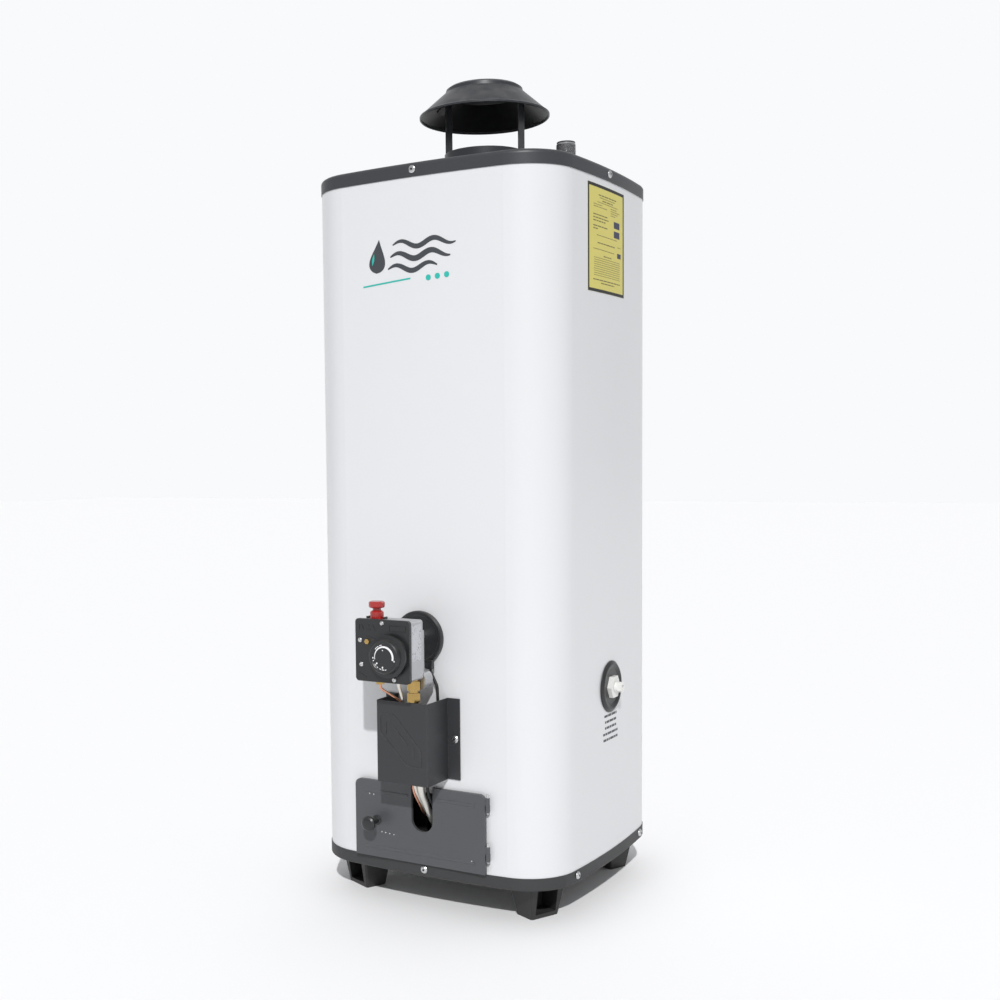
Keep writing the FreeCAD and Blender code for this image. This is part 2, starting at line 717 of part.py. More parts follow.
keep(turned("floor_shield", [
    (size("intakeRadius") + 3, trayFloor + sheetWall), (tankIn - 4, trayFloor + sheetWall),
    (tankIn - 4, trayFloor + sheetWall * 2),
    (size("intakeRadius") + 3, trayFloor + sheetWall * 2)]), "floor_shield")

burnerOut = size("burnerRadius")
burner = turned("burner_head", [
    (0, burnerLevel - 28), (22, burnerLevel - 28), (22, burnerLevel - 2),
    (burnerOut - 4, burnerLevel - 2), (burnerOut, burnerLevel + 2), (burnerOut - 3, burnerLevel + 7),
    (18, burnerLevel + 10), (0, burnerLevel + 10)])
keep(burner, "burner_head")
feedAcross = 6.5
feedLevel = burnerLevel - 15
mixer = turned("burner_venturi", [
    (10.5, 22.4), (12, 22.4), (12, 100), (15, 122), (13.5, 122), (10.5, 100)], role="XZ_Plane")
mixer.Placement = FreeCAD.Placement(FreeCAD.Vector(), facingTurns["front"])
keep(place(mixer, feedAcross, 0, feedLevel), "burner_venturi")
nozzle = turned("burner_orifice", [
    (0, 0), (7, 0), (7, -6), (4, -10), (1, -10), (1, -4), (0, -4)])
nozzle.Placement = FreeCAD.Placement(FreeCAD.Vector(), facingTurns["front"])
keep(place(nozzle, feedAcross, -132, feedLevel), "burner_orifice")
keep(block("burner_bracket", feedAcross - 8, -98, trayFloor + sheetWall * 2, 16, 12,
           feedLevel - 12.1 - trayFloor - sheetWall * 2), "burner_bracket")
pilotBlock = block("pilotBlock", -14, -84, feedLevel + 12.1, 32, 9, 22)
pilotTips = [rod(f"pilotTip{i}", across, -75, burnerLevel + 11, radius, 10, "+Y")
             for i, (across, radius) in enumerate(((-6.2, 2), (-1.2, 2.6), (14, 1.5)))]
keep(fuse("pilot_burner", pilotBlock, *pilotTips), "pilot_burner")


# ---- gas control ----

plateFront = faceFront + size("plateReach")
plateBack = plateFront - size("plateThick")
inset = size("castingInset")
left = -size("plateLeft")
right = size("plateRight")
castingTop = plateHigh - inset
dialAcross = size("dialAcross")
dialLevel = valveLevel - size("dialBelow")
boreGap = size("runningGap")
castingBack = faceFront + size("castingReach")
neckBack = castingBack - 26
buttonDeep = faceFront + size("buttonReach")
inletDeep = faceFront + size("inletReach")
inletLevel = valveLevel - size("inletBelow")

faceplate = newBody("valve_faceplate")
sketch = newSketch(faceplate, "XZ_Plane", plateBack)
rectangle(sketch, left, plateLow, right, plateHigh)
base = pad(faceplate, sketch, size("plateThick"))
round_(faceplate, base, size("plateCorner"), alongY)
sketch = newSketch(faceplate, "XZ_Plane", plateFront - 0.5)
circle(sketch, dialAcross, dialLevel, size("dialSeat"))
pad(faceplate, sketch, size("seatHeight") + 0.5)
sketch = newSketch(faceplate, "XZ_Plane", plateFront + 20)
circle(sketch, dialAcross, dialLevel, size("spindleRadius") + boreGap)
pocket(faceplate, sketch, 60)
keep(faceplate, "valve_faceplate")

casting = newBody("gas_valve_body")
sketch = newSketch(casting, "XZ_Plane", castingBack)
rectangle(sketch, left + inset, plateLow + inset, right - inset, castingTop)
base = pad(casting, sketch, plateBack - castingBack)
round_(casting, base, 4, alongY)
sketch = newSketch(casting, "XZ_Plane", neckBack)
rectangle(sketch, -20, plateLow + 6, 24, valveLevel + 16)
pad(casting, sketch, castingBack - neckBack + 1)
sketch = newSketch(casting, "XZ_Plane", neckBack - 16)
circle(sketch, 14, plateLow - 5, 14)
pad(casting, sketch, 20)
sketch = newSketch(casting, "XZ_Plane", plateBack + 5)
circle(sketch, dialAcross, dialLevel, size("spindleRadius") + boreGap)
pocket(casting, sketch, 20)
sketch = newSketch(casting, "XY_Plane", castingTop + 5)
circle(sketch, size("buttonAcross"), -buttonDeep, size("buttonStem") + boreGap)
pocket(casting, sketch, 5 + 7.5 + size("buttonTravel") + 1)
sketch = newSketch(casting, "YZ_Plane", left - 5)
circle(sketch, -inletDeep, inletLevel, size("inletRadius"))
pocket(casting, sketch, 5 + inset + size("inletDepth"), reverse=True)
keep(casting, "gas_valve_body")

dialFront = size("dialDepth")
dialRim = size("dialSkirt")
dialFace = size("dialRadius")
seatGap = 0.6
dial = turned("temperature_dial", [
    (0, 15), (size("spindleRadius"), 15), (size("spindleRadius"), -seatGap), (dialRim, -seatGap),
    (dialRim, -3.5), (dialFace + 1.5, -5), (dialFace, -dialFront + 1.2),
    (dialFace - 1.2, -dialFront), (dialFace - 3, -dialFront), (dialFace - 4, -dialFront + 0.8),
    (0, -dialFront + 0.8)], role="XY_Plane")
keep(place(dial, dialAcross, -plateFront - size("seatHeight"), dialLevel), "temperature_dial")

stem = size("buttonStem")
waist = size("buttonWaist")
head = size("buttonHead")
top = size("buttonHeight")
button = turned("pilot_button", [
    (0, -7.5), (stem, -7.5), (stem, top - 15), (stem - 1, top - 13.5), (waist, top - 12),
    (waist, top - 10), (head - 1, top - 8.5), (head, top - 7), (head, top - 2),
    (head - 1.2, top - 0.5), (head - 3, top), (0, top)])
keep(place(button, size("buttonAcross"), -buttonDeep, castingTop), "pilot_button")

plateSpots = [(-3, plateHigh - 5), (left + 7.5, dialLevel + 18.5),
              (left + 9, dialLevel - 14), (15, plateLow + 5)]
plateScrews = []
for i, (across, level) in enumerate(plateSpots):
    made = turned(f"plateScrew{i}", [
        (0, 0), (3.1, 0), (3.1, 0.9), (2.2, 1.8), (1.1, 1.9), (0.9, 1.2), (0, 1.2)])
    made.Placement = FreeCAD.Placement(FreeCAD.Vector(), facingTurns["front"])
    plateScrews.append(place(made, across, -plateFront, level))
keep(fuse("plateScrewSet", *plateScrews), "faceplate_screws")
plug = newBody("pressure_port_plug")
sketch = newSketch(plug, "XZ_Plane", plateFront)
hexagon(sketch, asSize(3.2))
pad(plug, sketch, 2.4)
keep(place(plug, left + 19, 0, dialLevel + 17), "pressure_port_plug")

spud = newBody("valve_spud")
sketch = newSketch(spud, "XZ_Plane", tankOut - 10)
circle(sketch, 0, 0, spudOut)
pad(spud, sketch, neckBack - tankOut + 10)
sketch = newSketch(spud, "XZ_Plane", neckBack - 7)
hexagon(sketch, size("spudHex"))
pad(spud, sketch, 7)
keep(place(spud, valveAcross, 0, valveLevel), "valve_spud")
keep(rod("thermostat_probe", valveAcross, -tankOut + 10, valveLevel, 5,
         tankOut - flueOut - 22, "+Y"), "thermostat_probe")
discOut = size("escutcheonRadius")
discDeep = size("escutcheonDepth")
disc = turned("valve_escutcheon", [
    (spudOut + 0.3, -0.2), (discOut, -0.2), (discOut, -discDeep + 1.5),
    (discOut - 1.5, -discDeep), (discOut - 5, -discDeep), (discOut - 7, -discDeep + 1.5),
    (spudOut + 0.3, -discDeep + 1.5)],
    role="XY_Plane")
keep(place(disc, valveAcross, -faceFront, valveLevel), "valve_escutcheon")

fittingAcross = 15
fittingDeep = faceFront + 50
fittingTop = plateLow + 6
fittingLow = fittingTop - 44
fitting = newBody("manifold_fitting")
sketch = newSketch(fitting, "XY_Plane", 0)
circle(sketch, 0, 0, 7)
pad(fitting, sketch, 44)
for rise, tall in ((6, 12), (22, 12)):
    sketch = newSketch(fitting, "XY_Plane", rise)
    hexagon(sketch, asSize(8.6))
    pad(fitting, sketch, tall)
keep(place(fitting, fittingAcross, -fittingDeep, fittingLow), "manifold_fitting")
nutAcross = -22
nutDeep = faceFront + 75
nutTop = plateLow + inset
nut = newBody("thermocouple_nut")
sketch = newSketch(nut, "XY_Plane", -9)
hexagon(sketch, asSize(5.6))
pad(nut, sketch, 9)
keep(place(nut, nutAcross, -nutDeep, nutTop), "thermocouple_nut")

plugBody = block("igniter_connector", 9, -faceFront - discDeep - 7, valveLevel - 41,
                 14, 6.8, 12)
keep(plugBody, "igniter_connector")


# ---- tubes and leads, each one length with tangent arcs at its corners ----

def routed(label, points, radius, bends):
    points = [FreeCAD.Vector(*point) for point in points]
    edges = []
    start = points[0]
    for before, corner, after, bend in zip(points, points[1:], points[2:], bends):
        inward = (before - corner).normalize()
        outward = (after - corner).normalize()
        half = inward.getAngle(outward) / 2
        back = bend / math.tan(half)
        middle = (inward + outward).normalize() * (bend / math.sin(half) - bend)
        begin = corner + inward * back
        end = corner + outward * back
        edges.append(Part.makeLine(start, begin))
        edges.append(Part.Arc(begin, corner + middle, end).toShape())
        start = end
    edges.append(Part.makeLine(start, points[-1]))
    path = Part.Wire(edges)
    heading = points[1] - points[0]
    ring = Part.Wire([Part.Circle(points[0], heading, radius).toShape()])
    made = doc.addObject("Part::Feature", label)
    made.Shape = path.makePipeShell([ring], True, False)
    expected = math.pi * radius ** 2 * path.Length
    if abs(made.Shape.Volume - expected) > 0.01 * expected:
        raise ValueError(f"{label} is not a full tube: {made.Shape.Volume} for {expected}")
    print(label, "length", round(path.Length))
    return keep(made, label)


# Each runs down behind the shield, through the door's notch in a wide curve, and on to
# the burner.
face = -faceFront.number
low = plateLow.number
step = doorHigh.number
feed = feedLevel.number
pilot = burnerLevel.number + 11
nutLow = nutTop.number - 9
routed("manifold_tube", [
    (15, face - 50, fittingLow.number), (15, face - 50, low - 59), (6.5, face - 25, step + 52),
    (6.5, face - 18, step - 4), (6.5, -188, step - 50), (6.5, -160, feed), (6.5, -132, feed)],
    size("manifoldRadius").number, (18, 26, 30, 30, 18))
routed("thermocouple_lead", [
    (-22, face - 75, nutLow), (-22, face - 75, low - 13), (-6, face - 44, low - 36),
    (-6.2, face - 24, step + 56), (-6.2, face - 17, step - 6), (-6.2, -188, step - 44),
    (-6.2, -160, pilot), (-6.2, -84, pilot)],
    size("thermocoupleRadius").number, (6, 12, 20, 30, 24, 12))
routed("pilot_tube", [
    (2, face - 68, nutTop.number), (2, face - 68, low - 7), (-1, face - 45, low - 45),
    (-1.8, face - 26, step + 58), (-1.8, face - 19, step - 2), (-1.8, -189, step - 40),
    (-1.8, -160, pilot), (-1.8, -84, pilot)],
    size("pilotTubeRadius").number, (7, 20, 20, 30, 24, 12))
routed("igniter_lead", [
    (19, face - 10, valveLevel.number - 41), (19, face - 10, low + 3), (29, face - 10, low - 16),
    (30, face - 10, low - 40), (28, face - 11, step + 70), (14, face - 13, step + 25),
    (14, face - 13, step - 6), (14, -188, step - 42), (14, -160, pilot), (14, -84, pilot)],
    size("igniterRadius").number, (5, 12, 20, 10, 10, 24, 24, 12))


# ---- tube shield: a hat section open at top and bottom ----

half = size("shieldHalf")
skin = size("shieldWall")
tip = half + size("shieldFlange")
seat = faceFront + 0.1
reach = faceFront + size("shieldReach")
shield = newBody("shieldBlank")
sketch = newSketch(shield, "XY_Plane", shieldLow)
polygon(sketch, [
    (-tip, -seat), (-half + skin, -seat), (-half + skin, -reach + skin),
    (half - skin, -reach + skin), (half - skin, -seat), (tip, -seat), (tip, -seat - skin),
    (half, -seat - skin), (half, -reach), (-half, -reach), (-half, -seat - skin),
    (-tip, -seat - skin)])
base = pad(shield, sketch, shieldHigh - shieldLow)


def nearFold(distance):
    def test(edge):
        point = edge.Vertexes[0].Point
        return alongZ(edge) and abs(abs(point.x) - distance[0].number) < 1e-4 and \
            abs(point.y + distance[1].number) < 1e-4
    return test


base = round_(shield, base, 2.2, nearFold((half, reach)))
round_(shield, base, 1.2, nearFold((half - skin, reach - skin)))
keep(cut("tube_shield", shield, drillings["shield"]), "tube_shield")


# ---- burner door on two pinned knuckles ----

doorFront = faceFront + size("doorProud")
doorBack = doorFront - size("doorDepth")
doorWall = size("doorWall")


def doorOutline(sketch, inward):
    low = doorLow + inward
    high = doorHigh - inward
    outerLeft = -size("doorLeft") + inward
    outerRight = size("doorRight") - inward
    notch = size("notchHalf") + inward
    notchFloor = doorLow + size("notchFloor") - inward
    polygon(sketch, [
        (outerLeft, low), (outerRight, low), (outerRight, high), (notch, high),
        (notch, notchFloor), (-notch, notchFloor), (-notch, high), (outerLeft, high)])


door = newBody("doorPan")
sketch = newSketch(door, "XZ_Plane", doorBack)
doorOutline(sketch, asSize(0))
pad(door, sketch, size("doorDepth"))
sketch = newSketch(door, "XZ_Plane", doorBack)
doorOutline(sketch, doorWall)
base = pocket(door, sketch, size("doorDepth") - doorWall, reverse=True)


def doorCorner(depth, atNotch, step):
    level = doorLow + size("notchFloor") - step if atNotch else doorHigh - step
    reach = size("notchHalf") + step

    def test(edge):
        point = edge.Vertexes[0].Point
        wide = abs(point.x) > reach.number + 5
        return alongY(edge) and abs(edge.Length - depth.number) < 1e-4 and \
            abs(point.z - level.number) < 1e-4 and (atNotch or wide)
    return test


doorDepth = size("doorDepth")
corner = size("doorCorner")
base = round_(door, base, corner, doorCorner(doorDepth, False, asSize(0)))
base = round_(door, base, corner - doorWall, doorCorner(doorDepth - doorWall, False, doorWall))
notchRound = size("notchHalf") - 1
base = round_(door, base, notchRound, doorCorner(doorDepth, True, asSize(0)))
round_(door, base, notchRound + doorWall, doorCorner(doorDepth - doorWall, True, doorWall))

hingeAcross = size("doorRight") + size("hingeBeside")
hingeDeep = faceFront + size("hingeProud")
pinOut = size("pinRadius")
knuckleOut = size("knuckleRadius")
knuckleLong = size("knuckleLength")
doorPieces = [door]
pinCuts = []
hingeLevels = {"upper": doorLow + size("upperHinge"), "lower": doorLow + size("lowerHinge")}
for name, level in hingeLevels.items():
    doorPieces.append(rod(f"doorKnuckle{name}", hingeAcross, -hingeDeep,
                          level + knuckleLong + 0.3, knuckleOut, knuckleLong))
    doorPieces.append(block(f"doorTab{name}", size("doorRight") - 1, -doorFront,
                            level + knuckleLong + 0.3, hingeAcross - size("doorRight") + 1,
                            1, knuckleLong))
    pinCuts.append(rod(f"doorPinHole{name}", hingeAcross, -hingeDeep,
                       level + knuckleLong - 5, pinOut, knuckleLong + 10))


def rib(name, start, end, level):
    body = newBody(name)
    sketch = newSketch(body, "YZ_Plane", start)
    polygon(sketch, [(-doorFront + 0.3, level - 3), (-doorFront, level - 2.8),
                     (-doorFront - 0.9, level - 1.4), (-doorFront - 0.9, level + 1.4),
                     (-doorFront, level + 2.8), (-doorFront + 0.3, level + 3)])
    pad(body, sketch, end - start)
    return body


ribEnd = asSize(16)
ribTop = doorHigh - 16
ribLow = doorLow + 14
ribLeft = -size("doorLeft") + ribEnd
ribRight = size("doorRight") - ribEnd
doorPieces += [
    rib("ribLow", ribLeft, ribRight, ribLow),
    rib("ribTopLeft", ribLeft, -size("notchHalf") - 6, ribTop),
    rib("ribTopRight", size("notchHalf") + 6, ribRight, ribTop)]
keep(cut("burner_door", fuse("doorSet", *doorPieces), *pinCuts), "burner_door")

leafWide = size("lapRight") - 2
for name, level in hingeLevels.items():
    pin = rod(f"hinge_pin_{name}", hingeAcross, -hingeDeep, level - 1.5, pinOut,
              knuckleLong * 2 + 7)
    keep(pin, f"hinge_pin_{name}")
    leafInner = hingeAcross - leafWide
    leaf = block(f"leaf{name}", leafInner, -faceFront + crownDrop(leafInner) - 1.25, level,
                 leafWide, 1.2, knuckleLong)
    web = block(f"web{name}", hingeAcross - 0.6, -hingeDeep + pinOut + 0.4, level, 1.2,
                hingeDeep - pinOut - 0.4 - faceFront + crownDrop(leafInner) - 0.2,
                knuckleLong)
    eye = rod(f"eye{name}", hingeAcross, -hingeDeep, level, knuckleOut, knuckleLong)
    eyeHole = rod(f"eyeHole{name}", hingeAcross, -hingeDeep, level - 5,
                  pinOut + boreGap, knuckleLong + 10)
    keep(cut(f"hinge_bracket_{name}", fuse(f"bracketSet{name}", leaf, web, eye), eyeHole),
         f"hinge_bracket_{name}")

knobOut = size("knobRadius")
knobReach = size("knobReach")
knob = turned("door_knob", [
    (0, 0), (7, 0), (7, -1.2), (size("knobStem"), -2.4), (size("knobStem"), -knobReach + 9),
    (knobOut - 1, -knobReach + 8), (knobOut, -knobReach + 6.5), (knobOut, -knobReach + 3),
    (knobOut - 2, -knobReach + 1.2), (knobOut - 5.5, -knobReach + 0.3), (0, -knobReach)],
    role="XY_Plane")
keep(place(knob, size("knobAcross"), -doorFront, doorLow + size("knobRise")), "door_knob")


# ---- drain on the right side ----

dishOut = size("drainDish")
dish = turned("drain_escutcheon", [
    (0.2, drainPipe + 0.3), (0.2, dishOut), (1.4, dishOut), (4.2, dishOut - 4), (4.2, dishOut - 6),
    (2, dishOut - 12), (1.6, drainPipe + 0.3)], axis="H_Axis", role="XY_Plane")
keep(place(dish, faceRight, drainAcross, drainLevel), "drain_escutcheon")
seatOut = 2
hexEnd = 8
boreOut = size("drainTip") - 2.4
drain = newBody("drain_valve_body")
sketch = newSketch(drain, "YZ_Plane", tankOut - 12)
circle(sketch, 0, 0, drainPipe)
pad(drain, sketch, faceRight - tankOut + 12 + seatOut)
sketch = newSketch(drain, "YZ_Plane", faceRight + seatOut)
hexagon(sketch, size("drainHex"))
pad(drain, sketch, hexEnd - seatOut)
sketch = newSketch(drain, "YZ_Plane", faceRight + 30)
circle(sketch, 0, 0, boreOut + boreGap)
pocket(drain, sketch, 100)
keep(place(drain, 0, drainAcross, drainLevel), "drain_valve_body")
tipEnd = size("drainReach")
spindle = newBody("drain_spindle")
sketch = newSketch(spindle, "YZ_Plane", faceRight - 8)
circle(sketch, 0, 0, boreOut)
pad(spindle, sketch, hexEnd + 8 + 1)
sketch = newSketch(spindle, "YZ_Plane", faceRight + hexEnd + 0.4)
circle(sketch, 0, 0, size("drainTip"))
pad(spindle, sketch, tipEnd - hexEnd - 0.4)
for sign in (-1, 1):
    sketch = newSketch(spindle, "YZ_Plane", faceRight + tipEnd + 2)
    rectangle(sketch, sign * 8 - 2.2, -10, sign * 8 + 2.2, 10)
    pocket(spindle, sketch, 8)
sketch = newSketch(spindle, "YZ_Plane", faceRight + tipEnd + 2)
circle(sketch, 0, 0, size("drainBore"))
pocket(spindle, sketch, 100)
keep(place(spindle, 0, drainAcross, drainLevel), "drain_spindle")


# ---- rating label on the right side ----

filmGap = asSize(0.05)
labelHigh = jacketTop - size("labelBelow")
labelLow = labelHigh - size("labelTall")
film = crownedRing("labelSkin", -filmGap - size("filmWall"), -filmGap,
                   labelLow, labelHigh)
labelSpan = block("labelSpan", faceRight - 40, -size("labelFront"), labelLow - 5,
                  80, size("labelFront") + size("labelRear"), labelHigh - labelLow + 10)
label = doc.addObject("Part::Common", "energy_label")
label.Base = film
label.Tool = labelSpan
keep(label, "energy_label")


doc.recompute()
for thing in doc.Objects:
    if "Invalid" in thing.State or "Error" in thing.State:
        raise ValueError(f"{thing.Name} did not build: {thing.getStatusString()}")
os.makedirs("parts", exist_ok=True)
for thing in nodes:
    shape = thing.Shape
    if shape.isNull() or not shape.isValid() or shape.Volume <= 0:
        raise ValueError(f"{thing.Label} has no sound solid")
    shape.exportStep(f"parts/{thing.Label}.step")
print(len(nodes), "parts written")
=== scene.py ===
import bpy
import math
import random
from mathutils import Matrix, Vector


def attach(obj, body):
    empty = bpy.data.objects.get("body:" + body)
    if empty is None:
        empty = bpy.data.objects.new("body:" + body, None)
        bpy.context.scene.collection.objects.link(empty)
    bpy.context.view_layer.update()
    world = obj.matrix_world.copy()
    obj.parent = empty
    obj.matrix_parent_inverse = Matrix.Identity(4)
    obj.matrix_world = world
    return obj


# Tank water heater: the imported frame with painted, moulded, cast and drawn finishes,
# and the small printed, embossed and riveted pieces that go on it.

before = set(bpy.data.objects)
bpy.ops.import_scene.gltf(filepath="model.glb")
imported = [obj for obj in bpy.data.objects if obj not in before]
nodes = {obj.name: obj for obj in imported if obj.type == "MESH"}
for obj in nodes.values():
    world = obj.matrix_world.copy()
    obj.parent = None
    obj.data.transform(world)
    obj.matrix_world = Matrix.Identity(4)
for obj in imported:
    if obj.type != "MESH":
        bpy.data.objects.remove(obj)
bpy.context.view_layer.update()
print("frame loaded:", len(nodes), "nodes")

# Camera, floor and lights.

cameraSettings = {
    "place": (0.90707, -1.76312, 0.64038), "yaw": -31.975, "pitch": -4.132, "roll": -0.763,
    "lens": 47.24, "shiftAcross": 0.1212, "shiftUp": 0.0511,
}


def addCamera(settings):
    yaw, pitch, roll = (math.radians(settings[k]) for k in ("yaw", "pitch", "roll"))
    forward = Vector((math.sin(yaw) * math.cos(pitch), math.cos(yaw) * math.cos(pitch),
                      math.sin(pitch)))
    level = Vector((math.cos(yaw), -math.sin(yaw), 0))
    upright = level.cross(forward)
    right = level * math.cos(roll) + upright * math.sin(roll)
    up = -level * math.sin(roll) + upright * math.cos(roll)
    camera = bpy.data.objects.new("camera", bpy.data.cameras.new("camera"))
    bpy.context.scene.collection.objects.link(camera)
    turn = Matrix((right, up, -forward)).transposed().to_4x4()
    camera.matrix_world = Matrix.Translation(settings["place"]) @ turn
    camera.data.lens = settings["lens"]
    camera.data.sensor_width = 36
    camera.data.shift_x = settings["shiftAcross"]
    camera.data.shift_y = settings["shiftUp"]
    camera.data.clip_end = 60
    bpy.context.scene.camera = camera


addCamera(cameraSettings)

studio = {
    "worldColour": (0.975, 0.985, 1.0), "worldStrength": 0.5,
    "lobeFacing": (-0.53, 0.845, -0.07), "lobeStrength": 0.97, "lobeEdge": (0.55, 0.85),
    "floorColour": (0.95, 0.95, 0.955), "floorSize": 30,
    "sunFrom": (0.37, -0.69, 0.62), "sunStrength": 2.55, "sunAngle": 1.5,
}


def buildStudio(settings):
    world = bpy.data.worlds.new("studioWorld")
    bpy.context.scene.world = world
    world.use_nodes = True
    tree = world.node_tree
    sky = tree.nodes["Background"]
    sky.inputs["Color"].default_value = (*settings["worldColour"], 1)
    where = tree.nodes.new("ShaderNodeTexCoord").outputs["Generated"]
    lobe = tree.nodes.new("ShaderNodeVectorMath")
    lobe.operation = "DOT_PRODUCT"
    tree.links.new(where, lobe.inputs[0])
    lobe.inputs[1].default_value = Vector(settings["lobeFacing"]).normalized()
    strength = tree.nodes.new("ShaderNodeMapRange")
    strength.interpolation_type = "SMOOTHSTEP"
    tree.links.new(lobe.outputs["Value"], strength.inputs["Value"])
    outer, inner = settings["lobeEdge"]
    for socket, number in (("From Min", outer), ("From Max", inner),
                           ("To Min", settings["worldStrength"]),
                           ("To Max", settings["lobeStrength"])):
        strength.inputs[socket].default_value = number
    tree.links.new(strength.outputs["Result"], sky.inputs["Strength"])
    sun = bpy.data.objects.new("sunLight", bpy.data.lights.new("sunLight", "SUN"))
    bpy.context.scene.collection.objects.link(sun)
    sun.rotation_euler = Vector(settings["sunFrom"]).to_track_quat("Z", "Y").to_euler()
    sun.data.energy = settings["sunStrength"]
    sun.data.angle = math.radians(settings["sunAngle"])
    bpy.ops.mesh.primitive_plane_add(size=settings["floorSize"], location=(0, 0, 0))
    floor = bpy.context.active_object
    floor.name = "studioFloor"
    paper = bpy.data.materials.new("floorPaper")
    paper.use_nodes = True
    shader = paper.node_tree.nodes["Principled BSDF"]
    shader.inputs["Base Color"].default_value = (*settings["floorColour"], 1)
    shader.inputs["Roughness"].default_value = 0.9
    floor.data.materials.append(paper)
    bpy.context.scene.view_settings.view_transform = "Standard"


buildStudio(studio)
print("studio ready")

# Shader helpers: every effect that several finishes share is a node group.


def link(tree, source, target):
    tree.links.new(source, target)


def put(tree, kind, **values):
    node = tree.nodes.new(kind)
    for name, value in values.items():
        setattr(node, name, value)
    return node


def feed(tree, node, **inputs):
    for name, value in inputs.items():
        socket = node.inputs[name.replace("_", " ")]
        if isinstance(value, bpy.types.NodeSocket):
            link(tree, value, socket)
        else:
            socket.default_value = value
    return node


def calc(tree, operation, first, second=0.0, third=0.0):
    node = put(tree, "ShaderNodeMath", operation=operation)
    for socket, value in zip(node.inputs, (first, second, third)):
        if isinstance(value, bpy.types.NodeSocket):
            link(tree, value, socket)
        else:
            socket.default_value = value
    return node.outputs[0]


def blendColour(tree, factor, first, second, mode="MIX"):
    node = put(tree, "ShaderNodeMix", data_type="RGBA", blend_type=mode)
    for socket, value in ((node.inputs[0], factor), (node.inputs[6], first),
                          (node.inputs[7], second)):
        if isinstance(value, bpy.types.NodeSocket):
            link(tree, value, socket)
        elif isinstance(value, tuple):
            socket.default_value = (*value[:3], 1)
        else:
            socket.default_value = value
    return node.outputs[2]


def spread(tree, value, low, high, start=0.0, end=1.0):
    node = put(tree, "ShaderNodeMapRange")
    link(tree, value, node.inputs["Value"])
    for name, number in (("From Min", low), ("From Max", high), ("To Min", start), ("To Max", end)):
        node.inputs[name].default_value = number
    return node.outputs["Result"]


def noise(tree, vector, scale, detail=3.0, roughness=0.55):
    node = put(tree, "ShaderNodeTexNoise")
    link(tree, vector, node.inputs["Vector"])
    node.inputs["Scale"].default_value = scale
    node.inputs["Detail"].default_value = detail
    node.inputs["Roughness"].default_value = roughness
    return node.outputs["Fac"]


def newGroup(name, inputs, outputs):
    group = bpy.data.node_groups.new(name, "ShaderNodeTree")
    for socket, kind, value in inputs:
        made = group.interface.new_socket(socket, in_out="INPUT", socket_type=kind)
        if value is not None:
            made.default_value = value
    for socket, kind in outputs:
        group.interface.new_socket(socket, in_out="OUTPUT", socket_type=kind)
    entry = group.nodes.new("NodeGroupInput")
    leave = group.nodes.new("NodeGroupOutput")
    return group, entry.outputs, leave.inputs


def makeSurfaceGroup():
    # Fine grain of a coating or casting, cloudy tone and uneven gloss.
    group, given, result = newGroup("surfaceGrain", [
        ("Vector", "NodeSocketVector", None), ("Colour", "NodeSocketColor", (0.5, 0.5, 0.5, 1)),
        ("Grain Scale", "NodeSocketFloat", 900.0), ("Cloud Scale", "NodeSocketFloat", 9.0),
        ("Tone Change", "NodeSocketFloat", 0.05), ("Gloss", "NodeSocketFloat", 0.4),
        ("Gloss Change", "NodeSocketFloat", 0.08)], [
        ("Colour", "NodeSocketColor"), ("Roughness", "NodeSocketFloat"),
        ("Height", "NodeSocketFloat")])
    fine = put(group, "ShaderNodeTexNoise")
    link(group, given["Vector"], fine.inputs["Vector"])
    link(group, given["Grain Scale"], fine.inputs["Scale"])
    fine.inputs["Detail"].default_value = 4
    cloud = put(group, "ShaderNodeTexNoise")
    link(group, given["Vector"], cloud.inputs["Vector"])
    link(group, given["Cloud Scale"], cloud.inputs["Scale"])
    cloud.inputs["Detail"].default_value = 5
    cloud.inputs["Roughness"].default_value = 0.6
    mixed = calc(group, "ADD", calc(group, "MULTIPLY", fine.outputs["Fac"], 0.4),
                 calc(group, "MULTIPLY", cloud.outputs["Fac"], 0.6))
    shift = calc(group, "MULTIPLY", calc(group, "SUBTRACT", mixed, 0.5),
                 calc(group, "MULTIPLY", given["Tone Change"], 2.0))
    scale = calc(group, "ADD", shift, 1.0)
    tone = put(group, "ShaderNodeVectorMath", operation="SCALE")
    link(group, given["Colour"], tone.inputs[0])
    link(group, scale, tone.inputs["Scale"])
    link(group, tone.outputs[0], result["Colour"])
    gloss = calc(group, "MULTIPLY", calc(group, "SUBTRACT", cloud.outputs["Fac"], 0.5),
                 calc(group, "MULTIPLY", given["Gloss Change"], 2.0))
    link(group, calc(group, "ADD", given["Gloss"], gloss), result["Roughness"])
    link(group, fine.outputs["Fac"], result["Height"])
    return group


